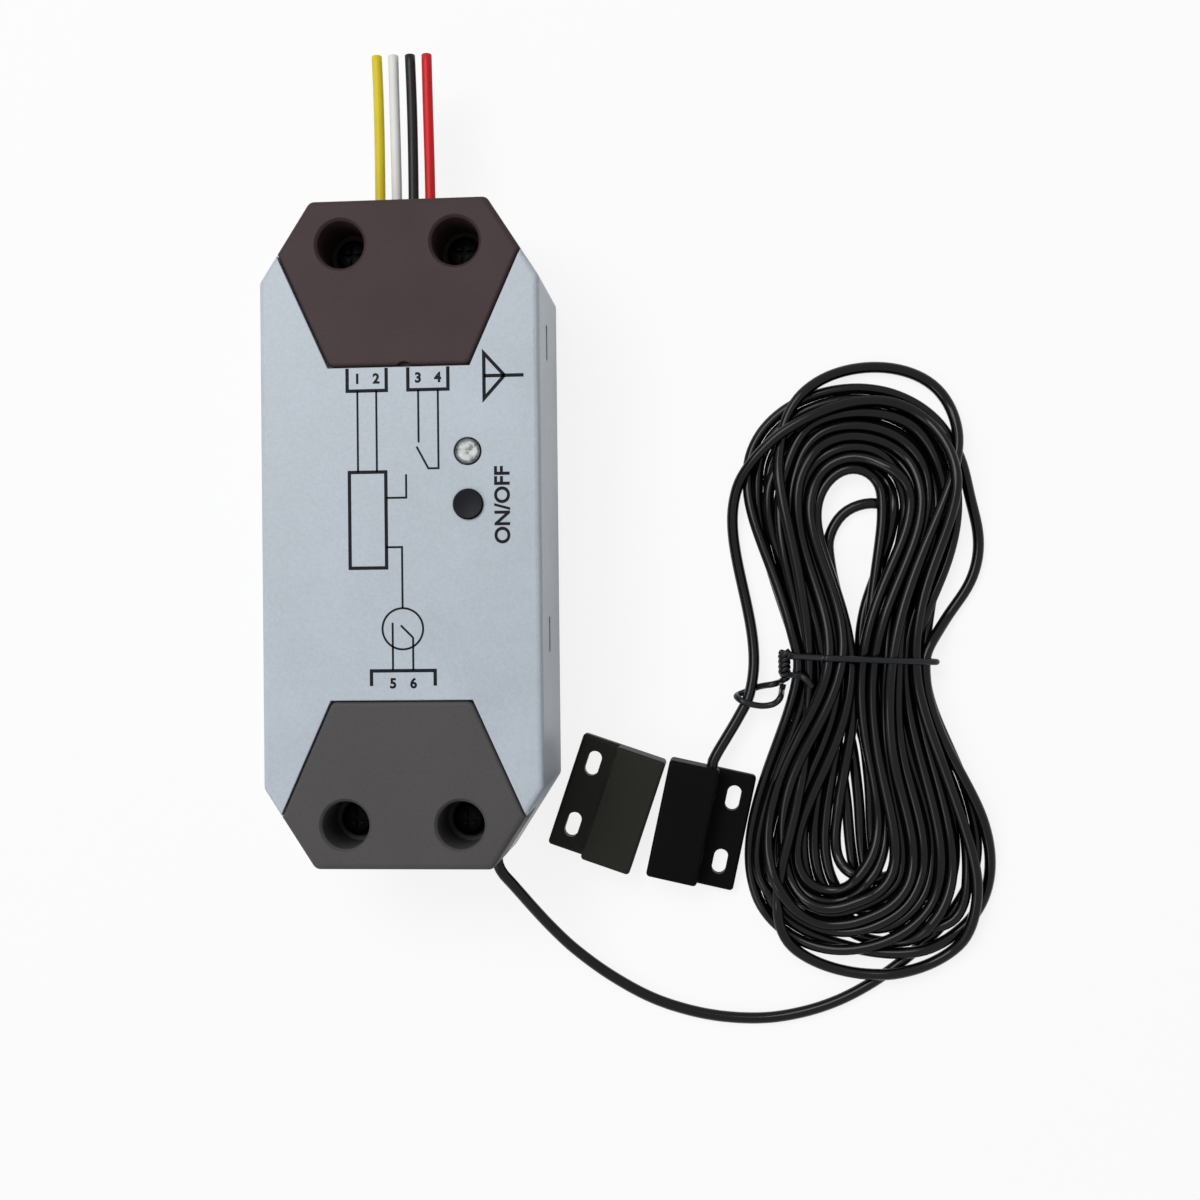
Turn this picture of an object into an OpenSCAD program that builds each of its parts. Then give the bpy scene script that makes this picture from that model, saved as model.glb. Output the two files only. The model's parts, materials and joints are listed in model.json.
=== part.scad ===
// Garage door controller with its wired door contact: a relay box that lies on its back,
// four cut leads at one end, and a thin sensor cord, wound into a tied hank, that ends in a reed switch.
// Millimetres. The origin is the middle of the box's back face, +Y runs along the box to the leads.

/* [Housing] */
// Length of the box
case_len = 98; // [92:1:108]
// Width of the box
case_w = 41.4; // [38:0.2:46]
// Height of the box
case_h = 24; // [23:0.5:28]
// Height of the seam between base and cover, where leads and cord leave
parting_z = 12; // [11.5:0.5:13]
// Thickness of the side walls
wall = 2; // [1.6:0.1:2.4]
// Thickness of the base's floor
floor_t = 2; // [1.5:0.1:2.5]
// Thickness of the front panel and of the terminal covers
top_t = 2; // [1.6:0.1:2.4]
// Cut of each corner across the box
corner_x = 7.6; // [6.5:0.1:8.4]
// Cut of each corner along the box
corner_y = 11.8; // [10:0.2:13]
// Radius of the upright corners
corner_r = 1.2; // [0.6:0.1:1.6]
// Radius along the front and back edges
edge_r = 0.8; // [0.4:0.1:1.2]
// Height of the lip that rises inside the seam
lip_h = 1.5; // [1:0.1:2]
// Thickness of that lip
lip_t = 0.9; // [0.7:0.05:1.1]
// Clearance between parts that fit into each other
fit_gap = 0.12; // [0.08:0.01:0.2]

/* [Terminal covers] */
// Length of a terminal cover along the box
cover_len = 24.7; // [23:0.1:26]
// Width of a terminal cover at its inner edge
cover_inner_w = 21; // [19:0.2:23]
// How far a terminal cover runs down the cut corner
cover_side_run = 7.8; // [7:0.1:8.6]
// Open seam round a terminal cover
seam = 0.2; // [0.1:0.05:0.3]
// Distance between the two screws of a cover
screw_span = 17; // [16.4:0.1:17.8]
// Distance of the screws from the end of the box
screw_inset = 6.5; // [6.4:0.1:7]
// Diameter of the screw recesses
recess_d = 7; // [6.2:0.1:7.4]
// Chamfer round the mouth of a screw recess
recess_rim = 0.4; // [0.2:0.1:0.6]
// Wall round a screw recess
tube_wall = 0.7; // [0.6:0.05:0.9]
// Floor under a screw recess
tube_floor = 1.5; // [1.2:0.1:2]
// Radius of the pry notch at the line cover's inner edge
pry_r = 1.4; // [0.8:0.1:1.8]

/* [Screws] */
// Thread diameter of the cover screws
screw_d = 2.4; // [2.2:0.1:2.6]
// Head diameter of the cover screws
screw_head_d = 5.2; // [4.6:0.1:5.6]
// Head height of the cover screws
screw_head_h = 1.9; // [1.5:0.1:2.2]
// Length of the cover screws under the head
screw_len = 9; // [7:0.5:10]
// Wall round a screw's pilot hole
boss_wall = 1.2; // [1:0.1:1.3]

/* [Front panel] */
// Diameter of the push button
button_d = 4.2; // [3.8:0.1:4.8]
// Push button across the panel
button_x = 10.1; // [9.5:0.1:11]
// Push button along the panel
button_y = 4.1; // [3.5:0.1:4.5]
// How far the button stands out of the panel
button_proud = 0.6; // [0.5:0.05:0.9]
// Travel of the button
button_travel = 0.5; // [0.3:0.05:0.6]
// Diameter of the light pipe
pipe_d = 3.6; // [3.2:0.1:4]
// Light pipe across the panel
pipe_x = 10.1; // [9.5:0.1:11]
// Light pipe along the panel
pipe_y = 11.8; // [11.4:0.1:12.4]
// Width of the collars that keep button and light pipe behind the panel
collar = 0.9; // [0.7:0.1:1.1]
// Thickness of those collars
collar_t = 0.8; // [0.6:0.1:1]

/* [Circuit board] */
// Thickness of the circuit board
board_t = 1.6; // [1.2:0.1:1.6]
// Height of the posts under the board
post_h = 4.6; // [4.2:0.1:4.8]
// Clearance round the board
board_gap = 0.5; // [0.3:0.1:0.8]
// Posts from the middle, across
post_x = 14.5; // [14:0.1:15]
// Posts from the middle, along
post_y = 20; // [19.5:0.1:20.2]
// Height of the transformer over the board
tall_h = 10.8; // [10:0.1:12.4]
// Room between the tallest parts and the front panel
panel_room = 1.8; // [1.2:0.1:3]
// Room between neighbouring parts on the board
part_room = 0.6; // [0.4:0.1:1]

/* [Leads] */
// Diameter of a lead over its insulation
lead_d = 1.6; // [1.4:0.05:1.7]
// Diameter of a lead's copper
copper_d = 0.8; // [0.6:0.05:1]
// Distance from lead to lead
lead_pitch = 2.6; // [2.4:0.05:2.8]
// Length of the leads outside the box
lead_free = 25.4; // [22:0.2:40]

/* [Door contact] */
// Length of each half of the door contact
contact_len = 18.5; // [18:0.1:19.5]
// Width of each half
contact_w = 13.8; // [13.2:0.1:14.4]
// Height of each half
contact_h = 6; // [5.5:0.1:7]
// Width of the thick block of each half
block_w = 8; // [7.4:0.1:8.4]
// Thickness of the screw flange
flange_t = 2.2; // [1.8:0.1:2.6]
// Width of a screw slot
slot_w = 2.2; // [2:0.1:2.6]
// Length of a screw slot
slot_len = 4; // [3.6:0.1:4.4]
// Distance between the two slots
slot_span = 10.2; // [9.6:0.1:10.8]
// Wall of the blocks
contact_wall = 1; // [0.8:0.1:1.2]

/* [Sensor cord] */
// Diameter of the sensor cord
cord_d = 1.75; // [1.6:0.05:1.8]
// Layers of loops in the hank
hank_layers = 4; // [2:2:4]
// Loops that a layer winds in or out
hank_loops = 4; // [2:2:4]
// Room from strand to strand at the hank's waist and between its layers
strand_gap = 0.58; // [0.56:0.02:0.7]
// Reach of the innermost loop above the waist
hank_top = 30; // [28:0.5:32]
// Reach of the innermost loop below the waist
hank_foot = 37.5; // [36:0.5:40]
// Diameter of the tie wire
tie_d = 1.1; // [0.9:0.05:1.2]

/* [Hidden] */
$fn = 48;
joint = 0.02; // overlap that fuses two volumes of one piece
cut = 1; // how far a cutting volume runs past the surface it opens

half_w = case_w / 2;
half_len = case_len / 2;
end_x = half_w - corner_x;
panel_z = case_h - top_t;
outline = [[half_w, corner_y - half_len], [half_w, half_len - corner_y], [end_x, half_len],
    [-end_x, half_len], [-half_w, half_len - corner_y], [-half_w, corner_y - half_len],
    [-end_x, -half_len], [end_x, -half_len]];

// Outline of the terminal cover at the +Y end, whose second to fourth edges are the box's own
cover_side_x = end_x + cover_side_run * corner_x / corner_y;
cover_edge_y = half_len - cover_len;
cover_outline = [[cover_inner_w / 2, cover_edge_y], [cover_side_x, half_len - cover_side_run],
    [end_x, half_len], [-end_x, half_len], [-cover_side_x, half_len - cover_side_run],
    [-cover_inner_w / 2, cover_edge_y]];
outside = 6; // how far the cover's outline is pushed past the box where only its inner edges count
cover_edge_r = 0.5;
pry_depth = 0.9;
pry_x = 0.8;
pry_out = 0.8; // the notch's middle lies this far outside the edge

boss_r = screw_d / 2 + boss_wall;
tube_r = recess_d / 2 + tube_wall;
screw_y = half_len - screw_inset;
screw_places = [for (x = [-1, 1], y = [-1, 1]) [x * screw_span / 2, y * screw_y]];
cable_r = max(lead_d, cord_d) / 2;
cable_gap = 0.06; // radial room of a lead or the cord in its notch
cable_room = 0.2; // room between a lead or the cord and the screw boss beside it
seat_z = parting_z + cable_r + cable_room; // the covers' tubes stand on the bosses here
recess_z = seat_z + tube_floor;
thread_gap = 0.05;
hole_gap = 0.2; // radial room of a screw in the hole it passes through
drive_w = 0.7;
drive_depth = 0.9;
drive_len = 0.6; // share of the head that the cross drive takes
head_rim = 0.45; // height of a head's rim, as a share of the head
head_dome = [0.72, 0.9]; // width and height where the dome flattens
head_flat = 0.4; // width of the flat on top

board_z = floor_t + post_h;
board_top = board_z + board_t;
board_room = 1;
board_end = screw_y - boss_r - board_room;
post_r = 2.4;
board_screw_d = 2;
board_screw_len = 4.5;
board_screw_head_d = 3.8;
board_screw_head_h = 1.3;
board_screw_places = [[post_x, post_y], [-post_x, -post_y]];

// Walls of the front shell round the two terminal rooms, and the ledge that carries a cover's edge
bulkhead_t = 1.2;
bulkhead_gap = 0.4;
ledge_w = 1.2;
ledge_t = 1.4;
wall_room = 0.8;
parts_y = cover_edge_y - bulkhead_t - wall_room; // parts on the board stay inside this

latch_len = 5;
latch_h = 1.4;
latch_depth = 0.5;
latch_y = [-15, 29];
tab_rise = 1.6;
tab_h = lip_h + tab_rise;

button_gap = 0.15; // room round the button and its plunger
rest_gap = 0.05; // the button's collar hangs this far under the panel
switch_size = 6;
switch_h = 3.5;
plunger_r = 1.7;
plunger_h = 1.5;
plunger_depth = 1.2;
plunger_room = 0.3;
stem_r = 1.5;
dish_depth = 0.25;
led_size = [3.2, 1.6, 1.2];
pipe_room = 0.4;
pipe_proud = 0.15;
pipe_gap = 0.25; // dark ring round the pipe

radio_size = [15, 18, 0.8];
radio_x = 8.5;
shield_size = [12, 11, 2.2];
shield_back = 1; // the shield stands this far in from the module's edge
shield_r = 0.6;
shield_edge = 0.3;
relay_size = [10, 17.8];
relay_h = panel_z - board_top - panel_room;
relay_x = -8;
relay_r = 0.8;
relay_edge = 0.5;
bobbin_size = [10.6, 9.4, 1.2];
bobbin_at = [-9, -6];
bobbin_rim = 1;
core_w = 11;
core_d = 4.5;
core_size = [core_w, core_d, tall_h - bobbin_size[2]];
core_window = [2.2, 6];
core_gap = 0.1;
big_can_r = 4;
big_can_h = relay_h - 0.5;
big_can_x = -8.5;
small_can_r = 3.15;
small_can_at = [1, 5];
small_can_h = 10;
can_bead = [1.2, 0.4, 0.07]; // height of the pressed bead, half its width, and its depth as a share
can_rim = 0.4;
varistor_r = 3.5;
varistor_t = 3;
varistor_x = pipe_x - pipe_d / 2 - part_room - varistor_t / 2;
varistor_lift = 1;
fuse_r = 1.7;
fuse_len = 8;
fuse_x = varistor_x - varistor_t / 2 - part_room - fuse_r;
pin_r = 0.35;
pin_run = 1.2;

block_depth = 7;
block_h = 8.5;
block_room = 3;
block_y = cover_edge_y + ledge_w + block_room; // inner face of a terminal block
block_rim = 0.4;
terminal_room = 0.2; // radial room of a lead in its terminal
terminal_hole_r = lead_d / 2 + terminal_room;
terminal_depth = 4.5;
terminal_screw_d = 2;
terminal_screw_h = 2.5;
terminal_screw_sink = 0.5;
terminal_slot = [0.4, 0.5]; // width and depth of the slot in a terminal screw
sensor_poles = 2;
line_poles = 4;
lead_first = boss_r - screw_span / 2 + lead_d / 2 + cable_room;
lead_xs = [for (i = [0 : line_poles - 1]) lead_first + i * lead_pitch];
line_mid = lead_first + (line_poles - 1) / 2 * lead_pitch;
sensor_xs = [for (i = [0 : sensor_poles - 1]) (i - (sensor_poles - 1) / 2) * lead_pitch];
lead_gap = 0.2;
lead_start = block_y + block_depth + lead_gap;
lead_end = half_len + lead_free;
copper_in = 4; // bare copper inside a terminal
copper_gap = 0.03;

// Where the cord leaves the box: beside the right-hand screw boss, at the corner of the end wall
cord_r = cord_d / 2;
cord_x = screw_span / 2 + boss_r + cord_r + cable_room;
jacket_in = 8; // jacket inside the box
jacket_y = jacket_in - half_len;
core_r = 0.35;
core_jog = 2; // the cores leave the jacket sideways, this far
core_run = 5.5; // and run to this far from it
core_back = 3; // this far before the terminal block
exit_run = 3; // straight stretch of the cord inside the end wall

// The door contact lies beside the box: middle of each half, and its turn
magnet_off = [7.4, 7.2]; // from the box's side and end
magnet_at = [half_w + magnet_off[0], magnet_off[1] - half_len];
magnet_turn = -19;
reed_off = [1.1, -3.5]; // from the magnet half, beside it
reed_at = magnet_at + [contact_w + reed_off[0], reed_off[1]];
reed_turn = -12.5;
contact_r = 0.6;
contact_edge = 0.5;
block_x = block_w - contact_w / 2; // the block's flange side, from the middle of the half
slot_x = (block_x + contact_w / 2) / 2;
cavity_x = [contact_wall - contact_w / 2, block_x - contact_wall];
cavity_len = contact_len - 2 * contact_wall;
cavity_h = contact_h - contact_wall;
cavity_mid = (cavity_x[0] + cavity_x[1]) / 2;
potting_gap = 0.05;
entry_wall = 0.5; // between the cord and the block's flange side
entry_x = block_x - entry_wall - cord_r;
entry_z = contact_h / 2;
reed_r = 1;
reed_len = 10;
reed_pin_len = 2;
reed_side = 0.8;
reed_x = cavity_mid - reed_side;
magnet_size = [3.4, 12, 3];

// Plane geometry
function unit(v) = v / norm(v);
function left(v) = [-v[1], v[0]];
function cross2(a, b) = a[0] * b[1] - a[1] * b[0];
function meet(p, u, q, w) = p + u * cross2(q - p, w) / cross2(u, w);
function turned(p, a) = [p[0] * cos(a) - p[1] * sin(a), p[0] * sin(a) + p[1] * cos(a)];

// A convex outline, counter-clockwise, with each edge moved inwards by d: one number, or one per edge
function inset(pts, d) = let (
    n = len(pts),
    e = is_list(d) ? d : [for (i = [0 : n - 1]) d],
    u = [for (i = [0 : n - 1]) unit(pts[(i + 1) % n] - pts[i])],
    a = [for (i = [0 : n - 1]) pts[i] + e[i] * left(u[i])])
    [for (i = [0 : n - 1]) meet(a[(i + n - 1) % n], u[(i + n - 1) % n], a[i], u[i])];

// The terminal cover's outline, its inner edges moved inwards by d and the others outwards by out
function cover_inset(d, out) = inset(cover_outline, [d, -out, -out, -out, d, d]);
function box_outline(w, l) = [[-w / 2, -l / 2], [w / 2, -l / 2], [w / 2, l / 2], [-w / 2, l / 2]];

// Solids that several parts share
module rounded(pts, r) offset(r = r, $fn = 32) polygon(inset(pts, r));

// A convex slab with rounded upright corners, rounded along its top edge
module soft_slab(pts, h, corner, edge) {
    hull() {
        linear_extrude(h - edge) rounded(pts, corner);
        for (a = [30, 60, 90])
            translate([0, 0, h - edge])
                linear_extrude(edge * sin(a))
                    rounded(inset(pts, edge * (1 - cos(a))), corner);
    }
}

module along_y(p, r, length) translate(p) rotate([-90, 0, 0]) cylinder(r = r, h = length);

// A pan-head screw with a cross drive, its head's underside at the origin
module pan_screw(d, length, head_d, head_h) {
    difference() {
        union() {
            translate([0, 0, -length]) cylinder(d = d, h = length + joint);
            rotate_extrude()
                polygon([[0, 0], [head_d / 2, 0], [head_d / 2, head_h * head_rim],
                    [head_d / 2 * head_dome[0], head_h * head_dome[1]],
                    [head_d / 2 * head_flat, head_h], [0, head_h]]);
        }
        for (a = [0, 90])
            rotate(a)
                translate([0, 0, head_h])
                    cube([head_d * drive_len, drive_w, 2 * drive_depth], center = true);
    }
}

// Lip round the seam of the base with its latch tabs, grown by gap where another part fits over it
module lip(gap, inner) {
    translate([0, 0, parting_z - joint])
        linear_extrude(lip_h + gap + joint)
            difference() {
                polygon(inset(outline, wall - lip_t - gap));
                polygon(inset(outline, inner));
            }
    tab_w = lip_t + gap + inner - wall;
    for (s = [-1, 1], y = latch_y)
        translate([s * (half_w - inner + tab_w / 2), y, parting_z - joint])
            translate([-tab_w / 2, -latch_len / 2 - gap, 0])
                cube([tab_w, latch_len + 2 * gap, tab_h + gap + joint]);
}

// Everything that leaves through the seam: the four leads and the sensor cord
module seam_notches() {
    for (x = lead_xs)
        along_y([x, half_len - wall - cut, parting_z], lead_d / 2 + cable_gap, wall + 2 * cut);
    along_y([cord_x, -half_len - cut, parting_z], cord_r + cable_gap, jacket_y + half_len + cut);
}

// Housing
module base_case() color("#b4bdc6") {
    difference() {
        union() {
            difference() {
                translate([0, 0, parting_z])
                    mirror([0, 0, 1])
                        soft_slab(outline, parting_z, corner_r, edge_r);
                translate([0, 0, floor_t])
                    linear_extrude(case_h)
                        polygon(inset(outline, wall));
            }
            lip(0, wall);
            for (s = [-1, 1], y = latch_y)
                translate([s * (half_w - wall + lip_t), y, parting_z + tab_h - latch_h])
                    rotate([90, 0, 0])
                        linear_extrude(latch_len, center = true)
                            polygon([[-s * lip_t / 2, 0], [0, 0], [s * latch_depth, latch_h / 3],
                                [0, latch_h], [-s * lip_t / 2, latch_h]]);
            for (p = screw_places)
                translate([p[0], p[1], floor_t - joint])
                    cylinder(r = boss_r, h = seat_z - floor_t + joint);
            for (x = [-post_x, post_x], y = [-post_y, post_y])
                translate([x, y, floor_t - joint])
                    cylinder(r = post_r, h = post_h + joint);
        }
        for (p = screw_places)
            translate([p[0], p[1], recess_z - screw_len - cut])
                cylinder(d = screw_d + 2 * thread_gap, h = screw_len + cut);
        for (p = board_screw_places)
            translate([p[0], p[1], board_top - board_screw_len - thread_gap])
                cylinder(d = board_screw_d + 2 * thread_gap, h = board_screw_len);
        seam_notches();
    }
}

module top_cover() color("#b4bdc6") {
    difference() {
        union() {
            difference() {
                translate([0, 0, parting_z])
                    soft_slab(outline, case_h - parting_z, corner_r, edge_r);
                translate([0, 0, parting_z - cut])
                    linear_extrude(panel_z - parting_z + cut)
                        polygon(inset(outline, wall));
                for (turn = [0, 180])
                    rotate(turn)
                        translate([0, 0, parting_z - cut])
                            linear_extrude(case_h)
                                polygon(cover_inset(0, outside));
            }
            for (turn = [0, 180])
                rotate(turn) {
                    translate([0, 0, board_top + bulkhead_gap])
                        linear_extrude(panel_z + joint - board_top - bulkhead_gap)
                            intersection() {
                                difference() {
                                    polygon(cover_inset(-bulkhead_t, outside));
                                    polygon(cover_inset(0, 2 * outside));
                                }
                                polygon(inset(outline, wall + fit_gap));
                            }
                    translate([0, 0, panel_z - ledge_t])
                        linear_extrude(ledge_t)
                            intersection() {
                                difference() {
                                    polygon(cover_inset(-bulkhead_t / 2, outside));
                                    polygon(cover_inset(ledge_w, 2 * outside));
                                }
                                polygon(inset(outline, wall + fit_gap));
                            }
                }
        }
        lip(fit_gap, wall + fit_gap);
        for (s = [-1, 1], y = latch_y)
            translate([s * (half_w - wall / 2), y, parting_z + tab_h - latch_h / 2])
                cube([wall + 2 * cut, latch_len + 2 * fit_gap, latch_h + 2 * fit_gap], center = true);
        translate([button_x, button_y, panel_z - cut])
            cylinder(r = button_d / 2 + button_gap, h = top_t + 2 * cut);
        translate([pipe_x, pipe_y, panel_z - cut])
            cylinder(r = pipe_d / 2 + pipe_gap, h = top_t + 2 * cut);
    }
}

// A terminal cover for the +Y end: plate, skirt along the box's outline, and two screw tubes
module terminal_cover_shell() {
    difference() {
        union() {
            difference() {
                intersection() {
                    translate([0, 0, parting_z])
                        soft_slab(outline, case_h - parting_z, corner_r, edge_r);
                    translate([0, 0, parting_z - cut])
                        soft_slab(cover_inset(seam, outside), case_h - parting_z + cut,
                            corner_r, cover_edge_r);
                }
                translate([0, 0, parting_z - cut])
                    linear_extrude(panel_z - parting_z + cut)
                        polygon(inset(outline, wall));
            }
            for (s = [-1, 1])
                translate([s * screw_span / 2, screw_y, seat_z])
                    cylinder(r = tube_r, h = panel_z - seat_z + joint);
        }
        for (s = [-1, 1])
            translate([s * screw_span / 2, screw_y, 0]) {
                translate([0, 0, recess_z]) cylinder(d = recess_d, h = case_h);
                translate([0, 0, case_h - recess_rim])
                    cylinder(d1 = recess_d, d2 = recess_d + 2 * (recess_rim + cut), h = recess_rim + cut);
                translate([0, 0, seat_z - cut])
                    cylinder(r = screw_d / 2 + hole_gap, h = tube_floor + 2 * cut);
            }
    }
}

module terminal_cover(turn) {
    difference() {
        rotate(turn) terminal_cover_shell();
        lip(fit_gap, wall + fit_gap);
        seam_notches();
    }
}

module line_terminal_cover() color("#4a4346")
    difference() {
        terminal_cover(0);
        translate([pry_x, cover_edge_y + seam - pry_out, case_h - pry_depth]) cylinder(r = pry_r, h = top_t);
    }

module sensor_terminal_cover() color("#544e51") terminal_cover(180);

module cover_screws() color("#1c1c1e")
    for (p = screw_places)
        translate([p[0], p[1], recess_z])
            pan_screw(screw_d, screw_len, screw_head_d, screw_head_h);

// Push button, its switch and the light
plunger_z = board_top + switch_h + plunger_h;

module button_cap() color("#18181a") {
    difference() {
        translate([button_x, button_y, 0]) {
            translate([0, 0, panel_z - rest_gap - joint])
                cylinder(d = button_d, h = top_t + button_proud + rest_gap + joint);
            translate([0, 0, panel_z - rest_gap - collar_t])
                cylinder(r = button_d / 2 + collar, h = collar_t);
            translate([0, 0, plunger_z])
                cylinder(r = stem_r, h = panel_z - rest_gap - plunger_z);
        }
        // Shallow dish for the fingertip
        dish_r = (pow(button_d / 2, 2) + pow(dish_depth, 2)) / (2 * dish_depth);
        translate([button_x, button_y, case_h + button_proud - dish_depth + dish_r])
            sphere(r = dish_r - joint);
    }
}

module switch_plunger() color("#d9d2c0")
    translate([button_x, button_y, plunger_z - plunger_h - plunger_depth])
        cylinder(r = plunger_r, h = plunger_h + plunger_depth);

module switch_body() color("#2b2b2e") {
    well = plunger_depth + button_travel + plunger_room;
    difference() {
        translate([button_x - switch_size / 2, button_y - switch_size / 2, board_top])
            cube([switch_size, switch_size, switch_h]);
        translate([button_x, button_y, board_top + switch_h - well])
            cylinder(r = plunger_r + button_gap, h = well + cut);
    }
}

module light_pipe() color("#e6ecec") {
    foot = board_top + led_size[2] + pipe_room;
    translate([pipe_x, pipe_y, foot])
        cylinder(d = pipe_d, h = case_h + pipe_proud - foot);
    translate([pipe_x, pipe_y, panel_z - collar_t])
        cylinder(r = pipe_d / 2 + collar, h = collar_t);
}

module status_led() color("#f2efe0")
    translate([pipe_x - led_size[0] / 2, pipe_y - led_size[1] / 2, board_top])
        cube(led_size);

// Circuit board and what stands on it
module circuit_board() color("#1f5a38")
    translate([0, 0, board_z])
        linear_extrude(board_t)
            difference() {
                intersection() {
                    polygon(inset(outline, wall + board_gap));
                    square([case_w, 2 * board_end], center = true);
                }
                for (p = board_screw_places)
                    translate(p) circle(d = board_screw_d + 2 * hole_gap);
            }

module board_screws() color("#c3c6c8")
    for (p = board_screw_places)
        translate([p[0], p[1], board_top])
            pan_screw(board_screw_d, board_screw_len, board_screw_head_d, board_screw_head_h);

radio_y = radio_size[1] / 2 - parts_y;

module radio_module() color("#17324a")
    translate([radio_x - radio_size[0] / 2, radio_y - radio_size[1] / 2, board_top])
        cube(radio_size);

module radio_shield() color("#b9bcc0")
    translate([radio_x, radio_y - (radio_size[1] - shield_size[1]) / 2 + shield_back,
        board_top + radio_size[2]])
        soft_slab(box_outline(shield_size[0], shield_size[1]), shield_size[2], shield_r, shield_edge);

module relay() color("#26282b")
    translate([relay_x, parts_y - relay_size[1] / 2, board_top])
        soft_slab(box_outline(relay_size[0], relay_size[1]), relay_h, relay_r, relay_edge);

// Ferrite core with two windows, standing on the bobbin's foot
module transformer_core() color("#3a3a3c")
    translate([bobbin_at[0], bobbin_at[1], board_top + bobbin_size[2]])
        rotate([90, 0, 0])
            linear_extrude(core_size[1], center = true)
                difference() {
                    translate([-core_size[0] / 2, 0]) square([core_size[0], core_size[2]]);
                    for (s = [-1, 1])
                        translate([s * core_size[0] / 4, core_size[2] / 2])
                            square(core_window, center = true);
                }

module transformer_winding() color("#c9a13a") {
    leg = core_size[0] / 2 - core_window[0];
    wound = [core_size[0] / 2 + core_window[0] - 4 * core_gap, bobbin_size[1],
        core_window[1] - 2 * core_gap];
    mid = board_top + bobbin_size[2] + core_size[2] / 2;
    difference() {
        translate([bobbin_at[0], bobbin_at[1], mid]) cube(wound, center = true);
        translate([bobbin_at[0], bobbin_at[1], mid])
            cube([leg + 2 * core_gap, core_size[1] + 2 * core_gap, core_size[2]], center = true);
    }
    translate([bobbin_at[0] - bobbin_size[0] / 2, bobbin_at[1] - bobbin_size[1] / 2, board_top])
        cube(bobbin_size);
    // Flanges that join the winding to the foot
    for (s = [-1, 1])
        translate([bobbin_at[0], bobbin_at[1] + s * (bobbin_size[1] - bobbin_rim) / 2, (board_top + mid) / 2])
            cube([leg, bobbin_rim, mid - board_top], center = true);
}

// A standing capacitor with its pressed bead
module can(r, h) rotate_extrude()
    polygon([[0, 0], [r, 0], [r, can_bead[0]], [r * (1 - can_bead[2]), can_bead[0] + can_bead[1]],
        [r, can_bead[0] + 2 * can_bead[1]], [r, h - can_rim], [r - can_rim, h], [0, h]]);

module capacitors() color("#23263a") {
    translate([big_can_x, big_can_r - parts_y, board_top]) can(big_can_r, big_can_h);
    translate([small_can_at[0], small_can_at[1], board_top]) can(small_can_r, small_can_h);
}

module fuse() color("#4f7a5a") {
    fuse_y = parts_y - pin_run - fuse_len / 2;
    translate([fuse_x, fuse_y, board_top]) {
        along_y([0, -fuse_len / 2, fuse_r], fuse_r, fuse_len);
        along_y([0, -fuse_len / 2 - pin_run, fuse_r], pin_r, fuse_len + 2 * pin_run);
        for (s = [-1, 1])
            translate([0, s * (fuse_len / 2 + pin_run - pin_r), 0]) cylinder(r = pin_r, h = fuse_r);
    }
}

module varistor() color("#2f5aa0")
    translate([varistor_x, parts_y - varistor_r, board_top]) {
        translate([0, 0, varistor_lift + varistor_r])
            rotate([0, 90, 0])
                cylinder(r = varistor_r, h = varistor_t, center = true);
        for (s = [-1, 1])
            translate([s * varistor_t / 4, s * varistor_r / 2, 0]) cylinder(r = pin_r, h = varistor_r);
    }

// Terminal blocks
module terminal_block(xs, mid) {
    length = len(xs) * lead_pitch + 2 * block_rim;
    difference() {
        translate([mid - length / 2, block_y, board_top])
            cube([length, block_depth, block_h]);
        for (x = xs) {
            along_y([x, block_y + block_depth - terminal_depth, parting_z],
                terminal_hole_r, terminal_depth + cut);
            translate([x, block_y + block_depth / 2, terminal_screw_z()])
                cylinder(d = terminal_screw_d + 2 * fit_gap, h = block_h);
        }
    }
}

function terminal_screw_z() = board_top + block_h - terminal_screw_sink - terminal_screw_h;

module line_terminal_block() color("#2f7d4b") terminal_block(lead_xs, line_mid);

module sensor_terminal_block() color("#2f7d4b") rotate(180) terminal_block(sensor_xs, 0);

module terminal_screw(x)
    translate([x, block_y + block_depth / 2, terminal_screw_z()])
        difference() {
            cylinder(d = terminal_screw_d, h = terminal_screw_h);
            translate([0, 0, terminal_screw_h])
                cube([terminal_screw_d + cut, terminal_slot[0], 2 * terminal_slot[1]], center = true);
        }

module terminal_screws() color("#c3c6c8") {
    for (x = lead_xs) terminal_screw(x);
    rotate(180) for (x = sensor_xs) terminal_screw(x);
}

// Leads
module lead(i) {
    difference() {
        along_y([lead_xs[i], lead_start, parting_z], lead_d / 2, lead_end - lead_start);
        along_y([lead_xs[i], lead_start - cut, parting_z],
            copper_d / 2 + copper_gap, lead_end - lead_start + 2 * cut);
    }
}

module lead_yellow() color("#e3c21c") lead(0);

module lead_white() color("#ededeb") lead(1);

module lead_black() color("#1b1b1d") lead(2);

module lead_red() color("#c81e28") lead(3);

module lead_conductors() color("#c27a45")
    for (x = lead_xs)
        along_y([x, lead_start - copper_in, parting_z], copper_d / 2, lead_end - lead_start + copper_in);

// Cords: a tube of flat faces through points, its rings square to the route
function tangents(p) = [for (i = [0 : len(p) - 1]) unit(p[min(i + 1, len(p) - 1)] - p[max(i - 1, 0)])];
function across(t, lie) = unit(cross(lie, t));
function tube_ring(c, t, r, sides, lie) = let (a = across(t, lie), b = cross(t, a))
    [for (k = [0 : sides - 1]) let (turn = 360 * k / sides + 90) c + r * (cos(turn) * a + sin(turn) * b)];

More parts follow.
